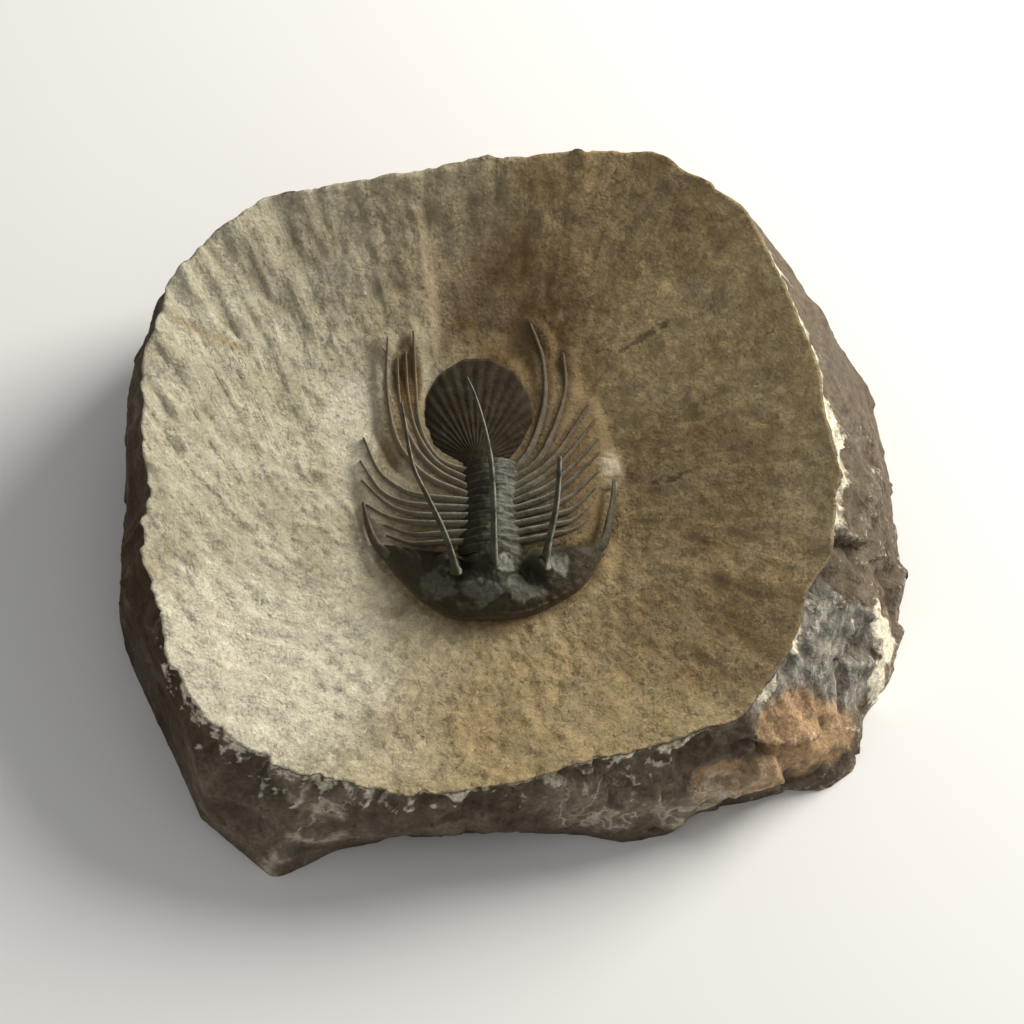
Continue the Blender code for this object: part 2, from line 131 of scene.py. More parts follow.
def chipped(points: np.ndarray, size: float, seed: float, soft: float = 0.16) -> np.ndarray:
    """Height of a surface that broke into flat, tilted chips.

    Args:
        points: rows of x, y and z.
        size: a chip's usual width.
        seed: moves the pattern to another place.
        soft: how wide the edge between two chips is, as a share of a chip.

    Returns:
        One number for each point, mostly from -1 to 1.
    """
    heights = np.empty(len(points))
    for i, row in enumerate((points / size + seed).tolist()):
        place = Vector(row)
        near, seeds = noise.voronoi(place)
        found = []
        for middle in seeds[:2]:
            lean = noise.cell_vector(middle * 9.7) * 2 - Vector((1, 1, 1))
            found.append(lean.dot(place - middle) + noise.cell(middle * 5.3) - 0.5)
        blend = 0.5 + 0.5 * min(1.0, (near[1] - near[0]) / soft)
        heights[i] = found[0] * blend + found[1] * (1 - blend)
    return heights


def outline_reach(outline: Outline | np.ndarray, angles: np.ndarray, centre: tuple[float, float]) -> np.ndarray:
    """How far an outline is from a centre, on the straight side that each direction's ray crosses.

    Args:
        outline: the outline's corners, anticlockwise.
        angles: directions in radians.
        centre: a point inside the outline.

    Returns:
        One distance for each angle.
    """
    starts = np.array(outline) - np.array(centre)
    ends = np.roll(starts, -1, axis=0)
    rays = np.stack([np.cos(angles), np.sin(angles)], -1)
    before = starts[None, :, 0] * rays[:, None, 1] - starts[None, :, 1] * rays[:, None, 0]
    after = rays[:, None, 0] * ends[None, :, 1] - rays[:, None, 1] * ends[None, :, 0]
    ahead = rays @ (starts + ends).T > 0
    side = ((before * after >= 0) & ahead).argmax(axis=1)
    start, along = starts[side], (ends - starts)[side]
    top = start[:, 0] * along[:, 1] - start[:, 1] * along[:, 0]
    return top / (rays[:, 0] * along[:, 1] - rays[:, 1] * along[:, 0])


def stretches(corners: np.ndarray, steps: int) -> np.ndarray:
    """Smooth stretches between the corners, leaving out the first and the last one.

    Args:
        corners: rows of as many dimensions as needed.
        steps: how many points each stretch gets.

    Returns:
        The stretches' rows, one after the other.
    """
    t = (np.arange(steps) / steps)[:, None]
    made = []
    for before, start, end, after in zip(corners, corners[1:], corners[2:], corners[3:]):
        bend = (2 * before - 5 * start + 4 * end - after) * t**2
        bend += (3 * start - before - 3 * end + after) * t**3
        made.append(0.5 * (2 * start + (end - before) * t + bend))
    return np.vstack(made)


def smooth_line(points: np.ndarray, steps: int) -> np.ndarray:
    """A smooth curve through points, from the first to the last."""
    ends = np.vstack([2 * points[0] - points[1], points, 2 * points[-1] - points[-2]])
    return np.vstack([stretches(ends, steps), points[-1:]])


def rounded(outline: Outline, steps: int = 5) -> np.ndarray:
    """A closed outline with its corners rounded off."""
    corners = np.array(outline, float)
    return stretches(np.vstack([corners[-1:], corners, corners[:2]]), steps)


def distance_to(points: np.ndarray, line: Sequence[Sequence[float]]) -> np.ndarray:
    """How far each point is from a line of straight stretches, in as many dimensions as the line has."""
    corners = np.array(line, float)
    places = points[:, : corners.shape[1]]
    nearest = np.full(len(places), np.inf)
    for start, end in zip(corners, corners[1:]):
        along = end - start
        share = np.clip((places - start) @ along / (along @ along), 0, 1)
        nearest = np.minimum(nearest, np.linalg.norm(places - start - share[:, None] * along, axis=1))
    return nearest


def patch(points: np.ndarray, middle: Sequence[float], reach: Sequence[float]) -> np.ndarray:
    """1 at the middle of an oval patch, falling to 0 at its reach and below 0 outside it."""
    places = points[:, : len(middle)]
    return 1 - (((places - np.array(middle)) / np.array(reach)) ** 2).sum(axis=1)


@dataclass
class Body:
    """A closed surface: its points in millimetres, its faces, and the zones painted on its points."""

    points: np.ndarray
    faces: list[tuple[int, ...]]
    zones: dict[Zone, np.ndarray] = field(default_factory=dict)
    finish_of_face: np.ndarray | None = None

    @classmethod
    def from_rings(cls, rings: Sequence[np.ndarray], first: np.ndarray, last: np.ndarray) -> "Body":
        """Skins closed rings and ends them in two points.

        Args:
            rings: rings of equally many rows, each anticlockwise seen from the last point.
            first: the point that closes the first ring.
            last: the point that closes the last ring.

        Returns:
            The closed body, facing out.
        """
        count, total = len(rings[0]), len(rings) * len(rings[0])
        here = np.arange(count)
        beside = np.roll(here, -1)
        steps = np.arange(len(rings) - 1)[:, None] * count
        quads = np.stack([steps + here, steps + beside, steps + count + beside, steps + count + here], -1)
        foot = np.stack([np.full(count, total), beside, here], -1)
        tip = np.stack([np.full(count, total + 1), total - count + here, total - count + beside], -1)
        faces = [tuple(face) for part in (quads.reshape(-1, 4), foot, tip) for face in part.tolist()]
        return cls(np.vstack([*rings, first[None], last[None]]), faces)

    @classmethod
    def joined(cls, bodies: Sequence["Body"]) -> "Body":
        """Puts several closed bodies in one mesh.

        Args:
            bodies: the bodies, all with the same zones.

        Returns:
            One body that holds them all.
        """
        faces: list[tuple[int, ...]] = []
        start = 0
        for body in bodies:
            faces += [tuple(corner + start for corner in face) for face in body.faces]
            start += len(body.points)
        zones = {zone: np.concatenate([body.zones[zone] for body in bodies]) for zone in bodies[0].zones}
        return cls(np.vstack([body.points for body in bodies]), faces, zones)

    def piece(self, name: str, finishes: Sequence[bpy.types.Material]) -> bpy.types.Object:
        """Makes the Blender object.

        Args:
            name: the piece's name.
            finishes: its materials.

        Returns:
            The object, in the scene and smooth-shaded.
        """
        mesh = bpy.data.meshes.new(name)
        mesh.from_pydata((self.points * MM).tolist(), [], self.faces)
        mesh.shade_smooth()
        for zone, values in self.zones.items():
            mesh.attributes.new(zone.value, "FLOAT", "POINT").data.foreach_set("value", values.astype(np.float32))
        for finish in finishes:
            mesh.materials.append(finish)
        if self.finish_of_face is not None:
            mesh.polygons.foreach_set("material_index", self.finish_of_face.astype(np.int32))
        made = bpy.data.objects.new(name, mesh)
        bpy.context.scene.collection.objects.link(made)
        return made


def fit(piece: bpy.types.Object, node: str) -> None:
    """Rides a piece on the one body, in the place of a CAD node, whose part it hides.

    Args:
        piece: the finished piece.
        node: the CAD node that it stands for.
    """
    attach(piece, "root")
    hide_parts(node)
    log.info("%s: %d faces, for %s", piece.name, len(piece.data.polygons), node)


# Finishes.


def add(
    tree: bpy.types.NodeTree, kind: str, inputs: Mapping[str | int, object] | None = None, **settings: object
) -> bpy.types.Node:
    """Adds a node with its settings and links.

    Args:
        tree: the tree that the node goes in.
        kind: the node's type, without the ShaderNode that it starts with.
        inputs: for each input, by name or number, a socket to link from or a value to set.
        settings: the node's own properties.

    Returns:
        The node.
    """
    node = tree.nodes.new("ShaderNode" + kind)
    for name, value in settings.items():
        setattr(node, name, value)
    for name, value in (inputs or {}).items():
        if isinstance(value, bpy.types.NodeSocket):
            tree.links.new(value, node.inputs[name])
        else:
            node.inputs[name].default_value = value
    return node


def painted(tree: bpy.types.NodeTree, *zones: Zone) -> dict[Zone, bpy.types.NodeSocket]:
    """Reads zones from the mesh, as one socket each."""
    return {zone: add(tree, "Attribute", attribute_name=zone.value).outputs["Fac"] for zone in zones}


def tint(tree: bpy.types.NodeTree, under: object, over: object, share: object) -> bpy.types.NodeSocket:
    """Mixes one colour over another by a share from 0 to 1."""
    return add(tree, "Mix", {0: share, 6: under, 7: over}, data_type="RGBA").outputs[2]


def facets(
    tree: bpy.types.NodeTree, place: bpy.types.NodeSocket, wobble: float = 0.45
) -> tuple[bpy.types.NodeSocket, bpy.types.NodeSocket]:
    """Small flat chips, each tilted its own way.

    Args:
        tree: the material's tree.
        place: where to look, in units of one chip.
        wobble: how far the chips' edges stray from straight.

    Returns:
        The height over the middle of a chip, and a number from 0 to 1 that each chip has for itself.
    """
    stray = add(tree, "TexNoise", {"Vector": place, "Scale": 1.4, "Detail": 2.0}).outputs["Color"]
    bent = add(tree, "VectorMath", {0: stray, 1: (wobble,) * 3, 2: place}, operation="MULTIPLY_ADD").outputs[0]
    chip = add(tree, "TexVoronoi", {"Vector": bent, "Scale": 1.0})
    off = add(tree, "VectorMath", {0: bent, 1: chip.outputs["Position"]}, operation="SUBTRACT").outputs[0]
    lean = add(tree, "VectorMath", {0: chip.outputs["Color"], 1: (0.5, 0.5, 0.5)}, operation="SUBTRACT").outputs[0]
    height = add(tree, "VectorMath", {0: off, 1: lean}, operation="DOT_PRODUCT").outputs["Value"]
    return height, chip.outputs["Color"]


def blank(name: str) -> tuple[bpy.types.Material, bpy.types.NodeTree]:
    """A new material and its empty tree."""
    material = bpy.data.materials.new(name)
    material.use_nodes = True
    material.node_tree.nodes.clear()
    return material, material.node_tree


@dataclass(frozen=True)
class ScribedLimestone:
    """Fine-grained limestone, cut back round the fossil with an air-driven scribe.

    The eye sees dry, chalky stone without gloss, with short strokes of the scribe side by side, each a little
    lighter on its crest, over crumbs and a sandy grain. Iron has stained part of it tan and brown. The same tan and
    brown are also laid as painted shade over the right and back of the hollow, in the channel behind the tail,
    between the ribs and against the head, and the palest cream is laid as a painted pool of light on the front left.
    """

    pale: str = "#CBC4A9"
    tan: str = "#A9946A"
    dull: str = "#9A8D70"
    brown: str = "#6E5530"
    vein: str = "#967B52"
    fragment: str = "#443C2E"
    fresh_and_lit: str = "#DDD5BC"
    mottle_mm: float = 7.0  # cloudy staining
    crumb_mm: float = 1.7
    scrap_mm: float = 0.75
    grain_mm: float = 0.5  # real grains are about 0.1 mm, drawn coarser so that they show
    stroke_depth_mm: float = 0.6
    crumb_depth_mm: float = 0.55
    scrap_depth_mm: float = 0.4
    grain_depth_mm: float = 0.2
    roughness: float = 0.93
    ior: float = 1.5

    def make(self) -> bpy.types.Material:
        """Builds the material.

        Returns:
            The material, which reads the zones and the stroke directions from the mesh.
        """
        material, tree = blank("air_scribed_limestone")
        place = add(tree, "TexCoord").outputs["Object"]
        stroke_place = add(tree, "Attribute", attribute_name="stroke").outputs["Vector"]
        zone = painted(tree, Zone.WARM, Zone.STAIN_AND_SHADE, Zone.WORKED, Zone.CREAM, Zone.VEIN, Zone.DARK)
        mottle = add(tree, "TexNoise", {"Vector": place, "Scale": per_mm(self.mottle_mm), "Detail": 4.0}).outputs["Fac"]
        crumbs = add(tree, "VectorMath", {0: place, "Scale": per_mm(self.crumb_mm)}, operation="SCALE").outputs[0]
        scraps = add(tree, "VectorMath", {0: place, "Scale": per_mm(self.scrap_mm)}, operation="SCALE").outputs[0]
        crumb, crumb_shade = facets(tree, crumbs, 0.9)
        scrap, scrap_shade = facets(tree, scraps, 0.7)
        stroke, stroke_shade = facets(tree, stroke_place, 0.7)
        grain = add(
            tree, "TexNoise", {"Vector": place, "Scale": per_mm(self.grain_mm), "Detail": 4.0, "Roughness": 0.65}
        ).outputs["Fac"]
        cloud = add(
            tree, "MapRange", {"Value": mottle, "From Min": 0.42, "From Max": 0.68, "To Max": 0.5}
        ).outputs["Result"]
        # Tan and brown: stained stone, and painted shade over the right and back of the hollow.
        colour = tint(tree, linear(self.pale), linear(self.tan), zone[Zone.WARM])
        colour = tint(tree, colour, linear(self.dull), cloud)
        colour = tint(tree, colour, linear(self.brown), zone[Zone.STAIN_AND_SHADE])
        colour = tint(tree, colour, linear(self.vein), zone[Zone.VEIN])
        # Pale cream: lumps and smooth stone, and a painted pool of light on the front left.
        colour = tint(tree, colour, linear(self.fresh_and_lit), zone[Zone.CREAM])
        colour = tint(tree, colour, linear(self.fragment), zone[Zone.DARK])
        shade = 1.0
        for value, low, high, darker, lighter in (
            (stroke_shade, 0.2, 0.8, 0.9, 1.08),
            (crumb_shade, 0.2, 0.8, 0.88, 1.1),
            (scrap_shade, 0.2, 0.8, 0.88, 1.1),
            (grain, 0.3, 0.7, 0.84, 1.14),
        ):
            uneven = add(
                tree,
                "MapRange",
                {"Value": value, "From Min": low, "From Max": high, "To Min": darker, "To Max": lighter},
            ).outputs["Result"]
            shade = add(tree, "Math", {0: shade, 1: uneven}, operation="MULTIPLY").outputs[0]
        colour = add(tree, "Mix", {0: 1.0, 6: colour, 7: shade}, data_type="RGBA", blend_type="MULTIPLY").outputs[2]
        struck = add(tree, "Math", {0: stroke, 1: zone[Zone.WORKED]}, operation="MULTIPLY").outputs[0]
        inputs = {"Strength": 1.0}
        for height, depth in (
            (struck, self.stroke_depth_mm),
            (crumb, self.crumb_depth_mm),
            (scrap, self.scrap_depth_mm),
            (grain, self.grain_depth_mm),
        ):
            bump = add(tree, "Bump", {**inputs, "Distance": depth * MM, "Height": height})
            inputs["Normal"] = bump.outputs[0]
        surface = add(
            tree,
            "BsdfPrincipled",
            {
                "Base Color": colour,
                "Roughness": self.roughness,
                "IOR": self.ior,
                "Metallic": 0.0,
                "Normal": bump.outputs[0],
            },
        )
        add(tree, "OutputMaterial", {"Surface": surface.outputs[0]})
        return material


@dataclass(frozen=True)
class FracturedLimestone:
    """The same limestone outside, broken from its bed and weathered.

    The eye sees dark grey-brown faces without gloss, thin pale calcite veins, a rusty iron staining, one silvery face
    that split along a calcite seam, and cream chips, newly broken, along the edge. A cream band along the top of the
    right side is painted highlight, and so is part of the cream on the raised chip edges there.
    """

    dark: str = "#796B58"
    deep: str = "#4E4231"
    olive: str = "#3E2B06"
    light: str = "#5F5341"
    hollow: str = "#4B3728"  # red-brown, deep between the chips of the right side
    rust: str = "#B8966E"
    silver: str = "#6E6B62"
    streak: str = "#A8A394"
    cream: str = "#DED5BC"
    vein: str = "#BDB19B"
    blotch_mm: float = 6.0
    streak_mm: float = 1.3
    shard_mm: float = 1.8
    chip_mm: float = 1.6
    web_mm: float = 13.0  # from one vein to the next where they run close
    grain_mm: float = 0.7  # drawn coarser than the real grain so that it shows
    shard_depth_mm: float = 1.5
    chip_depth_mm: float = 0.75
    grain_depth_mm: float = 0.3
    roughness: float = 0.88
    ior: float = 1.5

    def make(self) -> bpy.types.Material:
        """Builds the material.

        Returns:
            The material, which reads the zones from the mesh.
        """
        material, tree = blank("fractured_limestone")
        place = add(tree, "TexCoord").outputs["Object"]
        zone = painted(
            tree, Zone.RUST, Zone.SILVER, Zone.CREAM, Zone.VEIN, Zone.DARK, Zone.LIGHT, Zone.OLIVE, Zone.STAIN_AND_SHADE
        )
        blotch = add(tree, "TexNoise", {"Vector": place, "Scale": per_mm(self.blotch_mm), "Detail": 4.0}).outputs["Fac"]
        grain = add(
            tree, "TexNoise", {"Vector": place, "Scale": per_mm(self.grain_mm), "Detail": 4.0, "Roughness": 0.65}
        ).outputs["Fac"]
        laid = add(tree, "Mapping", {"Vector": place, "Rotation": (0.5, 0.5, 0.6), "Scale": (1.0, 0.3, 1.0)}).outputs[0]
        streak = add(
            tree, "TexNoise", {"Vector": laid, "Scale": per_mm(self.streak_mm), "Detail": 5.0, "Distortion": 0.3}
        ).outputs["Fac"]
        chips = add(tree, "VectorMath", {0: place, "Scale": per_mm(self.chip_mm)}, operation="SCALE").outputs[0]
        chip, chip_shade = facets(tree, chips, 0.8)
        shards = add(tree, "VectorMath", {0: laid, "Scale": per_mm(self.shard_mm)}, operation="SCALE").outputs[0]
        shard, shard_shade = facets(tree, shards, 0.35)
        # Veins run where a cloudy pattern crosses its middle value, in two sizes.
        net = 0.0
        for size, width in ((self.web_mm, 0.03), (self.web_mm / 2.2, 0.02)):
            cloud = add(
                tree, "TexNoise", {"Vector": place, "Scale": per_mm(size), "Detail": 4.0, "Distortion": 0.2}
            ).outputs["Fac"]
            off = add(tree, "Math", {0: cloud, 1: 0.5}, operation="SUBTRACT").outputs[0]
            off = add(tree, "Math", {0: off}, operation="ABSOLUTE").outputs[0]
            line = add(tree, "MapRange", {"Value": off, "From Max": width, "To Min": 1.0, "To Max": 0.0}).outputs["Result"]
            net = add(tree, "Math", {0: net, 1: line}, operation="MAXIMUM").outputs[0]
        veined = add(tree, "Math", {0: net, 1: 0.3}, operation="ADD").outputs[0]
        veined = add(tree, "Math", {0: veined, 1: zone[Zone.VEIN]}, operation="MULTIPLY", use_clamp=True).outputs[0]
        patchy = add(tree, "MapRange", {"Value": blotch, "From Min": 0.32, "From Max": 0.68}).outputs["Result"]
        seam = add(tree, "MapRange", {"Value": streak, "From Min": 0.44, "From Max": 0.72}).outputs["Result"]
        silvery = tint(tree, linear(self.silver), linear(self.streak), seam)
        # Freshly broken stone, and the painted highlight laid with it, crumble grain by grain, so that their edge is
        # never smooth.
        crumbly = add(tree, "Math", {0: grain, 1: 1.2, 2: -0.82}, operation="MULTIPLY_ADD").outputs[0]
        crumbly = add(tree, "Math", {0: crumbly, 1: zone[Zone.CREAM]}, operation="ADD").outputs[0]
        fresh_and_lit = add(tree, "MapRange", {"Value": crumbly, "From Max": 0.55}).outputs["Result"]
        colour = tint(tree, linear(self.deep), linear(self.dark), patchy)
        colour = tint(tree, colour, linear(self.olive), zone[Zone.OLIVE])
        colour = tint(tree, colour, linear(self.light), zone[Zone.LIGHT])
        colour = tint(tree, colour, silvery, zone[Zone.SILVER])
        colour = tint(tree, colour, linear(self.rust), zone[Zone.RUST])
        colour = tint(tree, colour, linear(self.vein), veined)
        # Cream, which includes the painted highlight along the lit top of the right side and on its chip edges.
        colour = tint(tree, colour, linear(self.cream), fresh_and_lit)
        colour = tint(tree, colour, linear(self.hollow), zone[Zone.STAIN_AND_SHADE])
        colour = tint(tree, colour, linear(self.deep), zone[Zone.DARK])
        shade = 1.0
        for value, low, high, darker, lighter in (
            (grain, 0.3, 0.7, 0.68, 1.3),
            (chip_shade, 0.2, 0.8, 0.86, 1.12),
            (shard_shade, 0.2, 0.8, 0.9, 1.1),
        ):
            uneven = add(
                tree,
                "MapRange",
                {"Value": value, "From Min": low, "From Max": high, "To Min": darker, "To Max": lighter},
            ).outputs["Result"]
            shade = add(tree, "Math", {0: shade, 1: uneven}, operation="MULTIPLY").outputs[0]
        colour = add(tree, "Mix", {0: 1.0, 6: colour, 7: shade}, data_type="RGBA", blend_type="MULTIPLY").outputs[2]
        sharp = add(tree, "Math", {0: zone[Zone.SILVER], 1: zone[Zone.LIGHT]}, operation="MAXIMUM").outputs[0]
        streaky = add(tree, "Math", {0: shard, 1: sharp}, operation="MULTIPLY").outputs[0]
        smoother = add(tree, "MapRange", {"Value": zone[Zone.OLIVE], "To Min": 1.0, "To Max": 0.25}).outputs["Result"]
        chippy = add(tree, "Math", {0: chip, 1: smoother}, operation="MULTIPLY").outputs[0]
        inputs = {"Strength": 1.0}
        for height, depth in (
            (streaky, self.shard_depth_mm),
            (chippy, self.chip_depth_mm),
            (grain, self.grain_depth_mm),
        ):
            bump = add(tree, "Bump", {**inputs, "Distance": depth * MM, "Height": height})
            inputs["Normal"] = bump.outputs[0]
        surface = add(
            tree,
            "BsdfPrincipled",
            {
                "Base Color": colour,
                "Roughness": self.roughness,
                "IOR": self.ior,
                "Metallic": 0.0,
                "Normal": bump.outputs[0],
            },
        )
        add(tree, "OutputMaterial", {"Surface": surface.outputs[0]})
        return material


@dataclass(frozen=True)
class CalciteShell:
    """The trilobite's shell, dark calcite that was cleaned by blowing fine powder at it.

    The eye sees charcoal with a soft, slightly cool shine on its curves, pale crests, brown stone dust left in its
    low places, and a skin that is finely grained rather than polished. The pale of the crests is partly rubbing and
    partly painted sheen and highlight on the sides that face the lamp, and a brown tint darkens the left halves of
    the head and the axis as painted shade.
    """

    charcoal: str = "#3D392C"
    brown: str = "#282318"
    grey: str = "#5F5E4F"
    stain_and_shade: str = "#261C08"
    dust: str = "#7B6D53"
    wear_and_sheen: str = "#ABAB9C"
    blotch_mm: float = 2.6
    chip_mm: float = 0.9
    grain_mm: float = 0.45  # drawn coarser than the real skin so that it shows
    chip_depth_mm: float = 0.2
    grain_depth_mm: float = 0.14
    ior: float = 1.6
    specular_level: float = 0.2  # the skin's fine pits swallow much of the shine

    def make(self) -> bpy.types.Material:
        """Builds the material.

        Returns:
            The material, which reads the zones from the mesh.
        """
        material, tree = blank("cleaned_calcite_shell")
        place = add(tree, "TexCoord").outputs["Object"]
        zone = painted(tree, Zone.DUST, Zone.STAIN_AND_SHADE, Zone.WEAR_AND_SHEEN)
        blotch = add(tree, "TexNoise", {"Vector": place, "Scale": per_mm(self.blotch_mm), "Detail": 5.0}).outputs["Fac"]
        grain = add(
            tree, "TexNoise", {"Vector": place, "Scale": per_mm(self.grain_mm), "Detail": 4.0, "Roughness": 0.65}
        ).outputs["Fac"]
        dark = add(tree, "MapRange", {"Value": blotch, "From Min": 0.38, "From Max": 0.52}).outputs["Result"]
        pale = add(tree, "MapRange", {"Value": blotch, "From Min": 0.54, "From Max": 0.72, "To Max": 0.7}).outputs["Result"]
        uneven = add(
            tree, "MapRange", {"Value": grain, "From Min": 0.3, "From Max": 0.7, "To Min": 0.5, "To Max": 1.35}
        ).outputs["Result"]
        dusty = add(tree, "Math", {0: zone[Zone.DUST], 1: uneven}, operation="MULTIPLY", use_clamp=True).outputs[0]
        # The pale zone is partly rubbing and partly painted sheen and highlight.
        rubbed_and_highlighted = add(tree, "Math", {0: zone[Zone.WEAR_AND_SHEEN], 1: uneven}, operation="MULTIPLY", use_clamp=True).outputs[0]
        colour = tint(tree, linear(self.brown), linear(self.charcoal), dark)
        colour = tint(tree, colour, linear(self.grey), pale)
        # The brown tint is partly staining and partly painted shade on the left halves of the head and the axis.
        colour = tint(tree, colour, linear(self.stain_and_shade), zone[Zone.STAIN_AND_SHADE])
        colour = tint(tree, colour, linear(self.wear_and_sheen), rubbed_and_highlighted)
        colour = tint(tree, colour, linear(self.dust), dusty)
        matt = add(tree, "Math", {0: dusty, 1: zone[Zone.STAIN_AND_SHADE]}, operation="MAXIMUM").outputs[0]
        dull = add(tree, "MapRange", {"Value": matt, "To Min": 0.5, "To Max": 0.85}).outputs["Result"]
        chips = add(tree, "VectorMath", {0: place, "Scale": per_mm(self.chip_mm)}, operation="SCALE").outputs[0]
        chip, _ = facets(tree, chips, 0.8)
        worked = add(tree, "Bump", {"Strength": 1.0, "Distance": self.chip_depth_mm * MM, "Height": chip}).outputs[0]
        skin = add(
            tree,
            "Bump",
            {"Strength": 1.0, "Distance": self.grain_depth_mm * MM, "Height": grain, "Normal": worked},
        )
        surface = add(
            tree,
            "BsdfPrincipled",
            {
                "Base Color": colour,
                "Roughness": dull,
                "IOR": self.ior,
                "Specular IOR Level": self.specular_level,
                "Metallic": 0.0,
                "Normal": skin.outputs[0],
            },
        )
        add(tree, "OutputMaterial", {"Surface": surface.outputs[0]})
        return material


@dataclass(frozen=True)
class PaperFloor:
    """The studio's paper sweep, matt and almost white, with no pattern of its own."""

    white: str = "#F7F6F3"

    def make(self) -> bpy.types.Material:
        """Builds the material.

        Returns:
            The plain matt material.
        """
        material, tree = blank("studio_paper")
        surface = add(tree, "BsdfPrincipled", {"Base Color": linear(self.white), "Roughness": 0.95})
        add(tree, "OutputMaterial", {"Surface": surface.outputs[0]})
        return material


# The stone.


@dataclass
class Hollow:
    """The dish that was dug into the block: its outline, depth and floor. Every piece stands on it."""

    centre: tuple[float, float] = (-3.6, 2.6)
    tilt: float = math.radians(10)  # the rim and the fossil both slope down toward the front
    rim_height: float = 26.8  # over the block's own origin
    depth: float = 12.3
    floor_reach: tuple[float, float, float] = (21.0, 20.5, 24.5)  # to the sides, the front and the back
    step_up: float = 0.55  # the sides start with a low, soft step
    bank_x: float = -8.6
    channel_depth: float = 1.9
    rim: Outline = (
        (50.5, 0), (50, -3), (49, -13), (45, -18), (44, -24), (41, -30), (37, -36), (35, -39), (28.5, -41),
        (19, -44), (6.5, -47), (-2, -50), (-14.5, -51), (-22.5, -50), (-34, -47.5), (-42, -43), (-47.5, -38.5),
        (-53, -30.5), (-55.5, -18), (-57, -14), (-57.3, -8), (-56, -2), (-57.5, 3.5), (-58, 17.5),
        (-56.5, 22), (-54, 32), (-49.5, 36.5), (-47.5, 39.5), (-43, 42), (-38.5, 45.5), (-33.5, 46.5),
        (-26.5, 48), (-15, 49.5), (-4, 51.5), (9, 52.5), (21, 53), (29, 48.5), (36, 44), (40, 36),
        (42.5, 30.5), (46.5, 21), (48, 14), (49, 7),
    )  # fmt: skip

    def floor_radius(self, angles: np.ndarray) -> np.ndarray:
        """Distance from the centre to where the sides start to rise."""
        side, front, back = self.floor_reach
        reach = np.where(np.sin(angles) > 0, back, front)
        return 1 / np.hypot(np.cos(angles) / side, np.sin(angles) / reach)

    def share(self, x: np.ndarray, y: np.ndarray) -> np.ndarray:
        """How far up the sides a place is, from 0 at the floor's edge to 1 at the rim.

        Args:
            x: places measured from the hollow's centre.
            y: the same.

        Returns:
            The share, below 0 on the floor.
        """
        angles = np.arctan2(y, x)
        start = self.floor_radius(angles)
        return (np.hypot(x, y) - start) / (outline_reach(self.rim, angles, self.centre) - start)

    def channel(self, x: np.ndarray, y: np.ndarray, share: np.ndarray) -> np.ndarray:
        """Depth of the smooth channel that runs from the tail up the back, steep on its left bank."""
        across = x - (self.bank_x - 0.16 * (y - 22))
        width = smooth_step(0, 2.2, across) * (1 - smooth_step(6, 24, across))
        return self.channel_depth * width * smooth_step(19, 27, y) * (1 - smooth_step(0.55, 1.0, share))

    def rise(self, x: np.ndarray, y: np.ndarray) -> np.ndarray:
        """Height of the sides over the floor, at places measured from the hollow's centre."""
        share = np.clip(self.share(x, y), 0, 1)
        bowl = (self.depth - self.step_up) * (0.78 * share + 0.22 * share**2)
        sides = self.step_up * smooth_step(0, 0.2, share) + bowl - self.channel(x, y, share)
        return np.where(share > 0, np.maximum(sides, 0), 0)

    def floor_height(self, y: np.ndarray | float) -> np.ndarray | float:
        """Height of the sloping floor over the block's underside."""
        return self.rim_height - self.depth + math.tan(self.tilt) * (self.centre[1] + y)

    def from_fossil(self, points: np.ndarray) -> np.ndarray:
        """Moves points from the fossil's frame to the block's."""
        turn, height = self.tilt, self.floor_height(0.0)
        x, y, z = points.T
        along, up = y * math.cos(turn) - z * math.sin(turn), y * math.sin(turn) + z * math.cos(turn)
        return np.stack([self.centre[0] + x, self.centre[1] + along, height + up], -1)


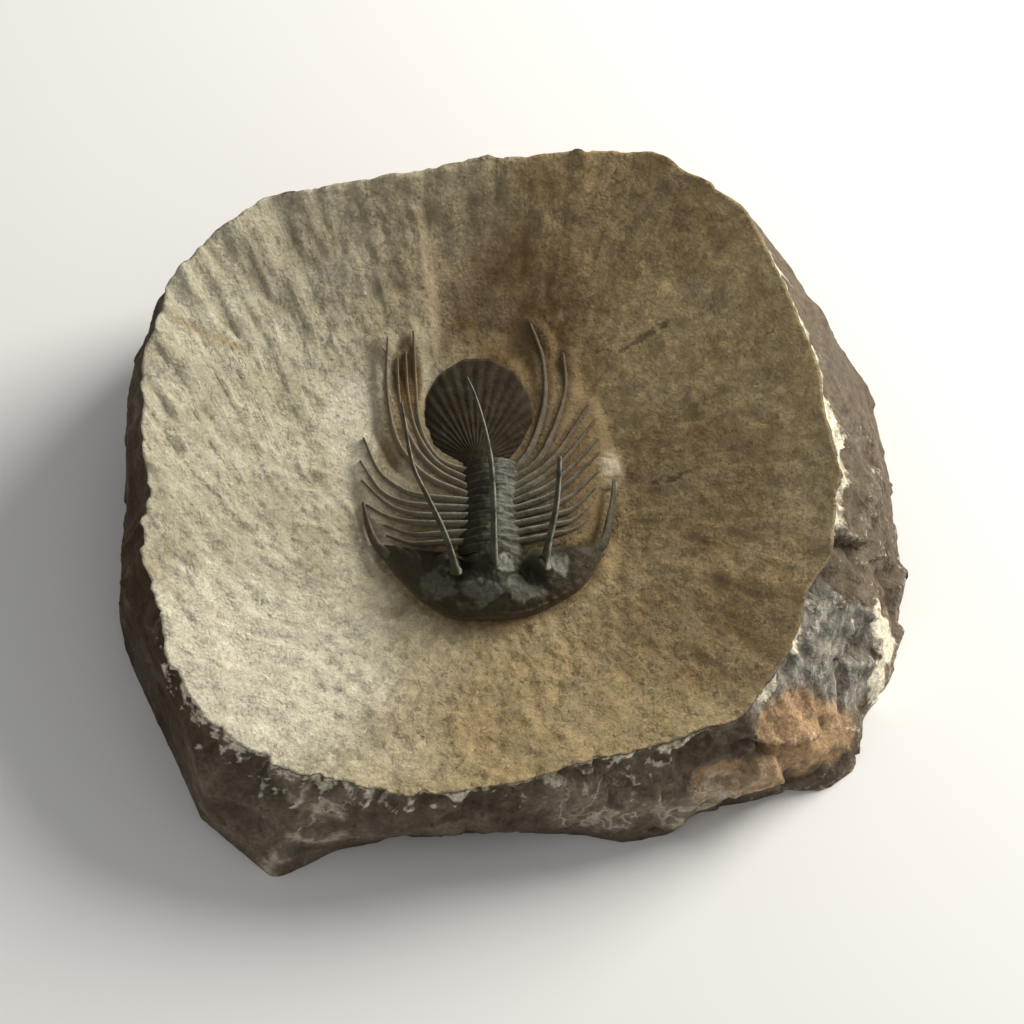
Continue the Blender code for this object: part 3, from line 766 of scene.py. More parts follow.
@dataclass
class SpineRows:
    """Where the spines of the body lie, in the fossil's frame: x, y, and height over the stone."""

    right: tuple[Line, ...] = (
        ((4.2, -8.2, 3.9), (9.8, -6.4, 3.0), (12.7, -5.4, 1.9), (15.2, -3.6, 1.1)),
        ((4.2, -6.7, 4.0), (10.2, -4.6, 3.1), (12.8, -3.6, 1.9), (15.5, -1.4, 1.1)),
        ((4.2, -5.3, 4.1), (10.5, -2.6, 3.1), (13.2, -1.2, 2.0), (16.3, 1.6, 1.1)),
        ((4.2, -4.0, 4.1), (8.5, -1.8, 3.5), (11.2, -0.2, 2.9), (13.6, 1.7, 1.9), (16.8, 4.4, 1.1)),
        ((4.2, -2.7, 4.0), (8.5, 0.0, 3.4), (11.2, 2.2, 2.8), (14.0, 4.9, 1.8), (17.0, 7.6, 1.1)),
        ((4.2, -1.4, 3.9), (8.5, 1.7, 3.2), (11.2, 4.3, 2.6), (13.8, 6.9, 1.7), (16.8, 9.8, 1.1)),
        ((4.2, -0.1, 3.7), (8.2, 3.3, 3.0), (11.2, 6.4, 2.4), (13.6, 9.4, 1.6), (16.4, 13.0, 1.1)),
        ((4.1, 1.2, 3.5), (7.8, 4.4, 2.8), (10.4, 7.6, 2.2), (12.5, 11.0, 1.5), (15.4, 15.6, 1.1)),
        (
            (4.0, 2.5, 3.2), (7.3, 5.9, 2.5), (9.4, 10.2, 1.9), (10.9, 14.6, 1.5), (11.8, 19.0, 1.2),
            (11.4, 23.7, 1.1),
        ),
        ((3.6, 3.8, 2.9), (5.9, 7.2, 2.3), (7.6, 12.0, 1.7), (8.6, 17.5, 1.4), (8.2, 23.5, 1.2), (6.3, 28.4, 1.1)),
    )  # fmt: skip
    left: tuple[Line, ...] = (
        ((-4.2, -8.2, 3.9), (-7.8, -7.9, 3.4), (-12.2, -7.5, 1.9), (-16.0, -6.2, 1.1)),
        ((-4.2, -6.7, 4.0), (-8.2, -6.3, 3.4), (-12.2, -5.8, 2.0), (-16.5, -4.5, 1.1)),
        ((-4.2, -5.3, 4.1), (-9.1, -4.3, 3.3), (-13.2, -3.4, 2.0), (-16.3, -2.5, 1.4), (-19.2, -1.1, 1.1)),
        ((-4.2, -4.0, 4.1), (-9.4, -2.8, 3.2), (-13.4, -1.6, 2.0), (-16.6, 0.1, 1.4), (-19.9, 2.9, 1.1)),
        ((-4.2, -2.7, 4.0), (-9.8, -1.1, 3.1), (-13.6, 0.1, 2.0), (-17.0, 1.9, 1.4), (-20.2, 6.1, 1.1)),
        ((-4.2, -1.4, 3.9), (-9.6, 0.4, 3.0), (-13.4, 2.0, 2.0), (-17.2, 5.0, 1.3), (-19.7, 9.9, 1.1)),
        (
            (-4.2, -0.1, 3.7), (-8.8, 2.6, 3.0), (-12.0, 5.9, 2.2), (-14.8, 11.0, 1.5), (-16.1, 18.5, 1.2),
            (-16.0, 25.6, 1.1),
        ),
        (
            (-4.1, 1.2, 3.5), (-8.0, 4.0, 2.8), (-11.0, 7.6, 2.0), (-13.1, 12.0, 1.5), (-14.2, 17.0, 1.2),
            (-14.5, 22.6, 1.1),
        ),
        (
            (-4.0, 2.5, 3.2), (-7.6, 5.0, 2.5), (-10.0, 8.2, 1.9), (-11.9, 12.6, 1.4), (-12.9, 18.0, 1.2),
            (-13.2, 23.6, 1.1),
        ),
        (
            (-3.6, 3.8, 2.9), (-7.3, 5.6, 2.4), (-9.8, 9.0, 1.8), (-11.2, 13.5, 1.5), (-11.7, 20.0, 1.2),
            (-12.0, 26.8, 1.1),
        ),
    )  # fmt: skip

    bows: tuple[float, ...] = (0.3, 0.5, 0.8, 1.0, 1.1, 1.1, 0.8, 0.7, 0.6, 0.5)

    def rows(self, side: Side) -> list[np.ndarray]:
        """The spines of one side from the head to the tail, each bowed toward the head in its middle."""
        rows = [np.array(row) for row in (self.right if side is Side.RIGHT else self.left)]
        for row, bow in zip(rows, self.bows):
            along = np.linalg.norm(row[:, :2] - row[0, :2], axis=1)
            row[:, 1] -= bow * np.sin(np.pi * along / along[-1])
        return rows


@dataclass
class LimestoneBlock:
    """The block: the dished hollow with its scribe strokes, the broken outside, and a flat underside."""

    hollow: Hollow
    spines: SpineRows
    base: Outline = (
        (61.4, -3), (60.5, -13), (58.5, -22), (54.5, -28), (54.5, -32), (52.5, -37), (48, -40.5), (41, -41),
        (36, -43), (28, -45), (23, -49), (17.5, -50), (12, -49), (-2, -48.5), (-18.5, -49.5), (-28, -51.5),
        (-31, -53.5), (-37, -56.3), (-41.5, -52), (-50, -44.5), (-56, -38), (-57, -31), (-57.5, -26),
        (-59.5, -23), (-61, -15), (-61.6, -9), (-60.5, 6), (-60.5, 20), (-58, 32), (-53, 41), (-46, 47),
        (-34, 52), (-18, 54.5), (0, 56), (12, 56.3), (24, 55), (35, 51), (44.5, 45), (52, 37), (57, 28),
        (60, 17), (61, 6),
    )  # fmt: skip
    # Compass angle and upward lean in degrees, and distance from the middle.
    broken_faces: tuple[tuple[float, float, float], ...] = (
        (-131, 4, 67.0), (-62, 12, 57.5), (-28, 22, 63.0), (2, 24, 64.5), (30, 26, 67.0), (62, 18, 65.5),
        (90, 0, 56.3), (140, 14, 68.5), (178, 2, 61.4), (-158, 2, 62.0), (-78, 6, 51.8),
    )  # fmt: skip
    belly: float = 2.6  # how far the side walls swell out at half height
    segments: int = 640
    floor_rings: int = 32
    side_rings: int = 66
    wall_rings: int = 46
    stroke_width: float = 1.6  # from one scribe stroke to the next
    stroke_length: float = 6.0
    gouge_width: float = 3.4  # the deeper gouges under them
    gouge_depth: float = 0.26
    edge_bed: float = 1.05  # how high the stone comes up round the head
    tail_bed: float = 0.7
    # Nubs of stone left on the rim: compass angle, half width in degrees, height.
    nubs: tuple[tuple[float, float, float], ...] = (
        (126.0, 1.6, 0.9), (91.0, 2.2, 0.7), (75.0, 1.0, 0.8), (61.0, 1.6, 0.7), (54.0, 1.4, 0.6),
    )  # fmt: skip
    rim_bands: tuple[Line, ...] = (
        ((-56.3, -14.3, 0.9), (-48.6, -18.7, 0.9), (-39.3, -23.9, 0.8), (-28.4, -29.9, 0.7)),
        ((-56.3, 28.4, 0.8), (-48.6, 25.0, 0.8), (-41.6, 23.3, 0.6)),
        ((28.9, 25.3, 0.5), (35.9, 24.4, 0.4), (42.9, 22.8, 0.3)),
    )
    # Scraps of dark shell in the hollow's side: two ends of each and half its width.
    scraps: tuple[tuple[float, float, float, float, float], ...] = (
        (21.6, 4.7, 25.0, 4.6, 0.5), (25.0, 4.7, 28.6, 5.9, 0.4), (16.5, 25.5, 19.6, 26.9, 0.35),
        (19.6, 26.9, 23.8, 28.9, 0.55), (12.6, 26.0, 15.2, 25.6, 0.3), (-27.4, -30.7, -26.9, -30.7, 0.45),
    )  # fmt: skip
    wall_veins: tuple[Line, ...] = (
        ((4.5, -47.9, 18.5), (8.0, -48.5, 15.0), (11.9, -48.9, 11.0), (16.5, -49.1, 6.0)),
        ((16.5, -49.1, 5.5), (11.0, -49.2, 4.0), (8.5, -48.9, 7.0), (11.5, -48.9, 10.5)),
        ((16.5, -49.0, 6.0), (21.2, -47.7, 9.3)),
        ((24.0, -48.0, 4.5), (27.4, -46.6, 4.2), (32.0, -45.3, 8.1), (38.0, -43.0, 10.0)),
        ((27.4, -46.6, 4.2), (33.0, -44.5, 3.5), (37.5, -42.5, 6.0)),
        ((-22.0, -50.0, 17.5), (-28.0, -50.0, 14.0), (-31.5, -52.2, 10.0), (-34.0, -53.6, 7.0)),
        ((-38.0, -46.0, 19.0), (-33.1, -49.7, 15.8), (-27.0, -50.5, 12.0)),
        ((-31.5, -53.2, 8.0), (-28.0, -52.0, 5.5), (-26.0, -51.5, 6.0)),
        ((-31.5, -53.2, 8.0), (-35.5, -54.5, 4.5), (-38.0, -55.0, 1.0)),
    )

    def outline_at(self, outline: Outline, angles: np.ndarray) -> np.ndarray:
        """An outline's reach, with its corners worn a little."""
        reach = outline_reach(outline, angles, self.hollow.centre)
        return (reach * 2 + np.roll(reach, 1) + np.roll(reach, -1) + np.roll(reach, 2) + np.roll(reach, -2)) / 6

    def stroke_places(self, angle: np.ndarray, radius: np.ndarray) -> np.ndarray:
        """Where each point lies among the scribe's strokes.

        The strokes run up the sides of the hollow and sweep round on its left. A turn grows with the logarithm of
        the radius there, which holds the sweep's lean the same all the way up.

        Args:
            angle: compass angle from the hollow's centre, in radians.
            radius: distance from it.

        Returns:
            Rows of three numbers that change by 1 from one stroke to the next.
        """
        sweep = 1.25 * np.exp(-(((np.mod(angle, 2 * np.pi) - math.radians(182)) / 0.75) ** 2))
        turned = angle + sweep * np.log(np.maximum(radius, 4) / 36)
        circle = 38 / self.stroke_width
        length = self.stroke_length * (1 - 0.3 * sweep)
        return np.stack([circle * np.cos(turned), circle * np.sin(turned), radius / length], -1)

    def bed(self, x: np.ndarray, y: np.ndarray) -> np.ndarray:
        """How high the stone is built up to the fossil, at places measured from the hollow's centre."""
        near, total = np.zeros(len(x)), np.zeros(len(x))
        for px, py, height, hold in self.footing():
            weight = hold * np.exp(-((x - px) ** 2 + (y - py * math.cos(self.hollow.tilt)) ** 2) / 1.15**2)
            near += weight * height
            total += weight
        return near / (total + 0.12)

    def footing(self) -> np.ndarray:
        """Where the stone is built up: under every spine, and round the head and the tail.

        Returns:
            Rows of x, y, height, and how firmly that height is held, which is little at a spine's tip.
        """
        under = []
        for side in Side:
            for row in self.spines.rows(side):
                line = smooth_line(row, 8)
                hold = 1 - 0.97 * np.linspace(0, 1, len(line)) ** 8
                # The spines behind the sixth pair lie almost wholly in the stone.
                line[:, 2] += 0.16 * smooth_step(8, 16, line[:, 1])
                under.append(np.column_stack([line, hold]))
        head = [(x, y, self.edge_bed, 1.0) for x, y in rounded(HeadShield.outline, 3) if y < -9]
        turns = np.linspace(-0.1, math.pi + 0.1, 24)
        (cx, cy), (rx, ry) = TailFan.middle, TailFan.half
        tail = [(cx + rx * math.cos(t), cy + ry * math.sin(t), self.tail_bed, 1.0) for t in turns]
        return np.vstack([*under, head, tail])

    def dish(self, x: np.ndarray, y: np.ndarray, stroke: np.ndarray) -> np.ndarray:
        """Height of the hollow's surface.

        Args:
            x: places measured from the hollow's centre.
            y: the same.
            stroke: their places among the scribe's strokes.

        Returns:
            Heights over the block's underside.
        """
        hollow = self.hollow
        share = hollow.share(x, y)
        flat = np.stack([x, y, np.zeros_like(x)], -1)
        wavy = hollow.rise(x + 0.5 * rough(flat, 3.0, 4.0), y + 0.5 * rough(flat, 3.0, 9.0))
        sides = np.clip(share, 0, 1)
        calm, worked = self.calm(x, y), self.worked(x, y)
        cut = self.gouge_depth * rough(stroke * self.stroke_width / self.gouge_width, 1.0, 3.0)
        cut += 0.16 * rough(stroke, 1.0, 11.0) + 0.24 * chipped(stroke, 1.4, 6.0, 0.08)
        crumb = 0.2 * rough(flat, 1.9, 5.0) + 0.12 * rough(flat, 1.0, 15.0) + 0.16 * chipped(flat, 2.1, 12.0)
        height = hollow.floor_height(y) + wavy + self.bed(x, y) + 0.5 * sides * rough(flat, 9.0, 2.0)
        out = smooth_step(-0.05, 0.12, share)
        crumb = crumb * (1 - 0.45 * smooth_step(0, 24, x))
        height += worked * cut + crumb * calm * (0.25 + 0.75 * out) * (1.15 - 0.5 * worked)
        return height + self.lumps(x, y)

    def worked(self, x: np.ndarray, y: np.ndarray) -> np.ndarray:
        """How strongly the scribe marked a place, which is most on the left and behind, and least in front."""
        turn = np.degrees(np.arctan2(y, x))
        left = np.exp(-(((np.mod(turn, 360) - 150) / 70) ** 2))
        front = np.exp(-(((np.mod(turn, 360) - 265) / 38) ** 2))
        strength = 0.55 + 0.45 * left - 0.42 * front
        return strength * smooth_step(22, 42, np.hypot(x, y)) * self.calm(x, y)

    def near_shell(self, places: np.ndarray) -> tuple[np.ndarray, np.ndarray]:
        """How far each place, measured from the hollow's centre, lies among the ribs, and against the head."""
        flatten = (1.0, math.cos(self.hollow.tilt))
        nearest = np.full(len(places), np.inf)
        for side in Side:
            for row in self.spines.rows(side):
                nearest = np.minimum(nearest, distance_to(places, smooth_line(row[:, :2] * flatten, 4)))
        front = [(x, y * flatten[1]) for x, y in HeadShield.outline if y < -9.5]
        return smooth_step(1.9, 0.5, nearest), smooth_step(2.6, 0.2, distance_to(places, front))

    def calm(self, x: np.ndarray, y: np.ndarray) -> np.ndarray:
        """0 where the stone was left smooth: the channel behind the tail and a patch beside the fossil."""
        across = x - (self.hollow.bank_x - 0.16 * (y - 22))
        channel = smooth_step(0, 3, across) * (1 - smooth_step(10, 20, across))
        channel *= smooth_step(16, 22, y) * (1 - smooth_step(34, 44, y))
        places = np.stack([x, y], -1)
        beside = np.clip(patch(places, (-21.5, 11.5), (5.0, 9.0)) * 2, 0, 1)
        return 1 - 0.85 * np.maximum(channel, beside)

    def lumps(self, x: np.ndarray, y: np.ndarray) -> np.ndarray:
        """Small forms left in the hollow: the lump beside the right cheek's spine and a ledge beside the left's."""
        places = np.stack([x, y], -1)
        flat = np.stack([x, y, np.zeros_like(x)], -1)
        ragged = 0.6 * rough(flat, 2.0, 51.0)
        lump = 0.7 * np.clip(patch(places, (18.6, 4.6), (2.0, 3.6)) + ragged, 0, 1) ** 0.8
        ledge = distance_to(places, ((-22.0, -1.0), (-20.8, -3.5), (-19.8, -6.5), (-18.9, -9.4), (-17.6, -12.0)))
        outer = distance_to(places, ((20.0, 1.0), (20.2, -2.5), (19.6, -6.0), (18.2, -9.5), (16.2, -12.8)))
        return lump + 0.7 * np.exp(-((ledge / 0.55) ** 2)) + 0.4 * np.exp(-((outer / 0.6) ** 2))

    def wall(self, top: np.ndarray, foot: np.ndarray, share: float) -> np.ndarray:
        """One ring of the outside, from the rim at a share of 0 to the underside at 1.

        Args:
            top: the rim's ring.
            foot: the underside's ring.
            share: how far down the ring lies.

        Returns:
            The ring, with its lumps, ledges and broken faces.
        """
        ring = top + (foot - top) * share
        outward = ring * (1, 1, 0)
        outward /= np.linalg.norm(outward, axis=1)[:, None]
        swell = math.sin(math.pi * share)
        ring = ring + outward * self.belly * swell
        lumps = 1.5 * rough(ring, 13) + 0.8 * np.fromiter(
            (noise.noise(row) for row in (ring / 5 + (7, 3, 1)).tolist()), float, len(ring)
        )
        levels = np.stack([ring[:, 0] / 16, ring[:, 1] / 16, np.floor(ring[:, 2] / 4.5) * 1.7], -1)
        ledge = 0.9 * (rough(levels, 1.0) - 0.1)
        ring = ring + outward * ((lumps + ledge) * swell)[:, None]
        for compass, lean, distance in self.broken_faces:
            turn, tip = math.radians(compass), math.radians(lean)
            facing = np.array([math.cos(turn) * math.cos(tip), math.sin(turn) * math.cos(tip), math.sin(tip)])
            over = np.maximum(ring @ facing - distance, 0)
            ring = ring - outward * (over / np.maximum(outward @ facing, 0.5))[:, None]
        hold = min(share / 0.07, 1.0) * (1 - 0.5 * share**8)
        right, front = self.sides(ring)
        craggy = 0.3 + 0.8 * front + 1.3 * right
        # Shards on the right lie aslant, about three times as long as wide.
        slant = np.stack([(ring[:, 0] + ring[:, 1]) * 0.71, (ring[:, 0] - ring[:, 1]) * 0.24, ring[:, 2]], -1)
        shards = 0.36 * right * chipped(slant, 2.4, 14.0, 0.06)
        chips = craggy * (chipped(ring, 8.5, 3.0, 0.03) + 0.16 * chipped(ring, 3.2, 8.0, 0.05)) + shards
        chips += 0.3 * right - 0.4
        fine = 0.16 * rough(ring, 1.3, 6.0)
        return ring + outward * (hold * (np.minimum(chips, 0.6 + 0.4 * right) + fine))[:, None]

    def sides(self, points: np.ndarray) -> tuple[np.ndarray, np.ndarray]:
        """How far each point belongs to the craggy right side, and to the front."""
        compass = np.degrees(np.arctan2(points[:, 1] - self.hollow.centre[1], points[:, 0] - self.hollow.centre[0]))
        right = smooth_step(-62, -36, compass) * (1 - smooth_step(6, 26, compass))
        front = smooth_step(-118, -96, compass) * (1 - smooth_step(-62, -36, compass))
        return right, front

    def rings(self) -> tuple[list[np.ndarray], list[np.ndarray], int]:
        """All the rings, from the underside up the wall, over the rim and down to the middle of the floor.

        Returns:
            The rings, each ring's places among the strokes, and the number of the rim's ring.
        """
        hollow = self.hollow
        angles = np.arange(self.segments) * 2 * np.pi / self.segments
        centre = np.array([*hollow.centre, 0.0])
        ray = np.stack([np.cos(angles), np.sin(angles), np.zeros(self.segments)], -1)
        round_rim = np.stack([np.cos(angles) * 52, np.sin(angles) * 52, np.zeros(self.segments)], -1)
        # The rim is most ragged at the left of the front, and almost clean behind.
        ragged = 0.3 + 0.7 * np.exp(-(((np.degrees(angles) - 232) / 62) ** 2))
        nibble = 0.45 * chipped(round_rim, 2.4, 1.0, 0.05) + 0.35 * rough(round_rim, 1.4, 3.0)
        nibble -= 0.9 * smooth_step(0.2, 0.5, rough(round_rim, 3.6, 8.0))
        nibble = ragged * nibble + 0.45 * rough(round_rim, 7.5, 2.0)
        behind = 0.9 * np.exp(-(((np.degrees(angles) - 92) / 38) ** 2))
        rim_reach = self.outline_at(hollow.rim, angles) - 0.1 + nibble + behind
        floor = hollow.floor_radius(angles)
        dish_rings = []
        strokes = []
        shares = [(0.0, s) for s in np.linspace(1, 0, self.side_rings, endpoint=False)]
        for inner, outer in [*shares, *[(f, 0.0) for f in np.linspace(1, 0.06, self.floor_rings)]]:
            radius = floor * (inner if outer == 0 else 1) + (rim_reach - floor) * outer
            x, y = radius * np.cos(angles), radius * np.sin(angles)
            stroke = self.stroke_places(angles, radius)
            height = self.dish(x, y, stroke)
            if outer == 1:
                for compass, half, lift in self.nubs:
                    off = np.mod(np.degrees(angles) - compass + 180, 360) - 180
                    height = height + lift * np.exp(-((off / half) ** 2))
            dish_rings.append(np.stack([x + centre[0], y + centre[1], height], -1))
            strokes.append(stroke)
        top = dish_rings[0]
        foot = centre + ray * (self.outline_at(self.base, angles) - 0.2)[:, None]
        wall = [self.wall(top, foot, share) for share in np.linspace(1, 0, self.wall_rings, endpoint=False)]
        wall[0][:, 2] = 0
        under = [centre + (wall[0] - centre) * share for share in (0.35, 0.97)]
        outside = [*under, *wall]
        flat = [self.stroke_places(angles, np.full(self.segments, 55.0)) for _ in outside]
        return [*outside, *dish_rings], [*flat, *strokes], len(outside)

    def zones(self, points: np.ndarray, rim_ring: int) -> dict[Zone, np.ndarray]:
        """Paints the colour zones.

        Args:
            points: the block's points, ring by ring and then its two end points.
            rim_ring: the number of the rim's ring.

        Returns:
            For each zone, a number at every point.
        """
        count = len(points)
        ring = np.minimum(np.arange(count) // self.segments, count // self.segments - 1)
        outside = ring < rim_ring
        down = np.clip((rim_ring - ring) / self.wall_rings, 0, 1)
        compass = np.degrees(np.arctan2(points[:, 1] - self.hollow.centre[1], points[:, 0] - self.hollow.centre[0]))
        wide, close = rough(points, 6.0, 21.0), rough(points, 1.8, 22.0)
        fine = rough(points, 0.9, 23.0)
        ragged = 0.9 * wide + 0.7 * close
        zones = {zone: np.zeros(count) for zone in Zone if zone not in (Zone.DUST, Zone.WEAR_AND_SHEEN)}
        x, y = points[:, 0], points[:, 1]
        places = points[:, :2] - np.array(self.hollow.centre)
        zones[Zone.WORKED] = np.where(outside, 0, self.worked(places[:, 0], places[:, 1]))
        # Tan toward the right of the hollow, partly the stone's colour and partly painted shade where the sides face
        # away from the lamp.
        zones[Zone.WARM] = np.where(outside, 0, smooth_step(-34, 2, x - 0.12 * y + 9 * rough(points, 14, 24.0)))
        # Brown in the hollow, partly stain and partly painted shade: the patches over the right and back, in the
        # channel behind the tail, beside the left rear spines, and the centre patch that grows toward the right.
        stain_and_shade = np.maximum.reduce([
            (0.1 + 0.5 * smooth_step(-18, 4, x)) * np.clip(2.2 * patch(points, (-1.0, 5.0), (20, 25)), 0, 1),
            0.75 * np.clip(1.4 * patch(points, (0.5, 29.0), (16, 19)), 0, 1),
            0.42 * np.clip(1.6 * patch(points, (26, 2.0), (19, 17)), 0, 1),
            0.36 * np.clip(1.6 * patch(points, (14.0, 48.0), (32, 16)), 0, 1),
            0.46 * np.clip(1.6 * patch(points, (32.0, -22.0), (26, 15)), 0, 1),
            0.3 * np.clip(1.6 * patch(points, (-22.0, 38.0), (22, 15)), 0, 1),
            0.16 * np.clip(1.6 * patch(points, (8.0, -34.0), (32, 16)), 0, 1),
            0.85 * np.clip(2.0 * patch(points, (-16.6, 21.5), (2.8, 8.0)), 0, 1),
            0.6 * np.clip(1.6 * patch(points, (-18.6, 13.0), (4.4, 7.5)), 0, 1),
        ])
        # Painted shade: the stone between the ribs, less on the left, and in the seam along the front of the head is
        # darkened brown.
        shell, head = self.near_shell(places)
        on_left = smooth_step(1, -5, places[:, 0])
        between = shell * (1 - 0.6 * smooth_step(10, 19, np.abs(places[:, 0]))) * (1 - 0.65 * on_left)
        stain_and_shade = np.maximum(stain_and_shade * (1 + 0.4 * wide + 0.3 * close), np.maximum(0.95 * between, 0.6 * head))
        zones[Zone.STAIN_AND_SHADE] = np.where(outside, 0, np.clip(stain_and_shade, 0, 1))
        rust = np.maximum.reduce([
            patch(points, (44.5, -37.5, 13.0), (7.5, 6.5, 9.0)),
            patch(points, (49.0, -35.5, 9.0), (6.0, 5.0, 6.0)),
            patch(points, (35.0, -43.5, 8.0), (11.0, 4.0, 4.5)),
        ])
        mixed = 0.95 + 0.5 * fine + 0.3 * close
        zones[Zone.RUST] = np.where(outside, smooth_step(-0.3, 0.4, rust + 0.6 * ragged), 0) * np.clip(mixed, 0, 1)
        silver = np.maximum.reduce([
            patch(points, (45.5, -24.0, 22.0), (9.0, 10.5, 9.0)),
            patch(points, (52.0, -24.0, 13.0), (8.0, 9.5, 9.0)),
            patch(points, (40.0, -33.0, 20.5), (5.0, 6.0, 5.0)),
        ])
        zones[Zone.SILVER] = np.where(outside, smooth_step(0.0, 0.3, silver + 0.35 * ragged), 0)
        right = smooth_step(-18, -8, compass) * (1 - smooth_step(66, 84, compass))
        _, front = self.sides(points)
        relief = self.relief(points)
        edges, deep = smooth_step(0.12, 0.5, relief), smooth_step(-0.1, -0.5, relief)
        light = right * (0.8 + 0.6 * wide) + front * (0.35 * smooth_step(-0.1, 0.3, wide) + 0.5 * edges)
        zones[Zone.LIGHT] = np.where(outside, np.clip(light, 0, 1), 0)
        behind = smooth_step(70, 100, compass) + smooth_step(-128, -150, compass)
        zones[Zone.OLIVE] = np.where(outside, np.clip(behind * (1.05 + 0.35 * wide), 0, 1), 0)
        strips = np.maximum.reduce([
            patch(points, (57.6, -16.5, 8.5), (2.4, 4.5, 8.5)),
            patch(points, (56.4, -23.5, 4.0), (2.2, 4.0, 4.5)),
            patch(points, (45.2, -18.3, 24.2), (2.8, 3.6, 2.8)),
            patch(points, (43.2, -26.0, 22.8), (1.8, 6.5, 2.0)),
            patch(points, (38.7, -34.0, 21.2), (2.6, 3.2, 2.2)),
        ])
        cream = smooth_step(-0.1, 0.3, strips + 0.4 * ragged + 0.4 * fine)
        # Painted highlight: a cream band along the top of the outside on the right and behind, where it faces the lamp.
        edge = 0.08 + 0.11 * np.clip(wide + 0.7 * close, -0.6, 0.7)
        lit_edge = smooth_step(-16, -8, compass) * (1 - smooth_step(84, 104, compass))
        cream = np.maximum(cream, lit_edge * smooth_step(0.03, -0.02, down - edge) * (0.75 + 0.5 * fine))
        crumbs = smooth_step(-158, -148, compass) * (1 - smooth_step(-60, -48, compass))
        crumbs = crumbs * smooth_step(0.1, 0.5, 0.8 * close + 0.8 * fine + 0.5 * edges + 0.45 - 3.4 * down) * 0.75
        craggy, _ = self.sides(points)
        # The raised chip edges of the craggy right side are painted cream, partly as chipped edges and partly as
        # painted highlight.
        rubbed_and_highlighted = 0.3 * craggy * edges * np.clip(0.8 + 0.9 * fine, 0, 1)
        zones[Zone.CREAM] = np.where(outside, np.clip(np.maximum.reduce([cream, crumbs, rubbed_and_highlighted]), 0, 1), 0)
        hollows = craggy * deep * np.clip(0.75 + 0.8 * wide, 0, 1) * (1 - 0.7 * zones[Zone.SILVER])
        hollows = hollows * (1 - 0.85 * zones[Zone.RUST]) * (1 - 0.9 * zones[Zone.CREAM])
        zones[Zone.STAIN_AND_SHADE] = np.where(outside, np.clip(hollows, 0, 1), zones[Zone.STAIN_AND_SHADE])
        lump = np.clip(1.2 * patch(points, (15.0, 7.2), (2.2, 4.2)) + ragged + fine, 0, 1)
        smooth_patch = np.clip(1.4 * patch(points, (-25.3, 14.0), (5.5, 9.5)) + 0.4 * close, 0, 1)
        # Painted light: the front left of the hollow, which faces the lamp, is laid pale as a pool of light; the lump
        # and the smooth patch are pale in themselves.
        painted_light_patch = np.clip(1.3 * patch(points, (-40.0, -28.0), (24, 20)) + 0.3 * wide, 0, 1)
        pale = np.maximum.reduce([lump * 0.5, smooth_patch * 0.75, painted_light_patch * 0.85])
        zones[Zone.CREAM] = np.where(outside, zones[Zone.CREAM], pale)
        bent = points + 0.5 * np.stack([close, rough(points, 1.8, 31.0), rough(points, 1.8, 32.0)], -1)
        veined = 0.12 * smooth_step(0.0, 0.3, wide)
        for vein in self.wall_veins:
            veined = np.maximum(veined, smooth_step(3.0, 0.4, distance_to(bent, vein)))
        veined = np.maximum.reduce([
            veined,
            np.clip(1.5 * patch(points, (11.5, -48.5, 10.0), (8.5, 6.0, 9.0)), 0, 1),
            np.clip(1.5 * patch(points, (29.0, -45.0, 6.0), (11.0, 7.0, 6.0)), 0, 1),
        ])
        band = np.zeros(count)
        for line in self.rim_bands:
            plan = [point[:2] for point in line]
            band = np.maximum(band, line[0][2] * np.exp(-((distance_to(bent, plan) / 0.8) ** 2)))
        zones[Zone.VEIN] = np.where(outside, veined, band * (0.75 + 0.4 * close))
        zones[Zone.VEIN] = np.clip(zones[Zone.VEIN], 0, 1)
        dark = np.zeros(count)
        for ax, ay, bx, by, half in self.scraps:
            dark = np.maximum(dark, smooth_step(1.25 * half, 0.75 * half, distance_to(bent, ((ax, ay), (bx, by)))))
        pits = smooth_step(0.34, 0.5, close) * (0.35 + 0.65 * zones[Zone.LIGHT]) * (1 - zones[Zone.CREAM])
        pits = np.maximum(pits, 0.6 * deep * (1 - zones[Zone.CREAM])) * (1 - 0.85 * zones[Zone.RUST])
        slot = smooth_step(0.0, 0.5, patch(points, (-58.5, -22.0, 6.0), (3.0, 3.5, 8.0)))
        faint = 0.7 * dark * np.clip(0.9 + 1.4 * fine, 0, 1)
        # Between the ribs near the axis the stone is painted the shell's dark, as shell showing there and as painted
        # shade, less on the left.
        near_axis = 1 - smooth_step(8, 19, np.abs(places[:, 0]))
        front_ribs = 1 - smooth_step(4, 13, places[:, 1])
        faint = np.maximum(faint, shell * near_axis * (0.42 - 0.32 * on_left + 0.3 * front_ribs))
        zones[Zone.DARK] = np.where(outside, np.clip(np.maximum(0.75 * pits, slot), 0, 1), faint)
        return zones

    def relief(self, points: np.ndarray) -> np.ndarray:
        """How far each point stands out of the stone round it, which is most on the edges of chips."""
        rows = len(points) // self.segments
        out = np.linalg.norm(points[:, :2] - np.array(self.hollow.centre), axis=1)
        grid = out[: rows * self.segments].reshape(rows, self.segments)
        round_it = grid
        for axis in (0, 1):
            round_it = sum(np.roll(round_it, step, axis) for step in range(-3, 4)) / 7
        return np.concatenate([(grid - round_it).ravel(), np.zeros(len(points) - rows * self.segments)])

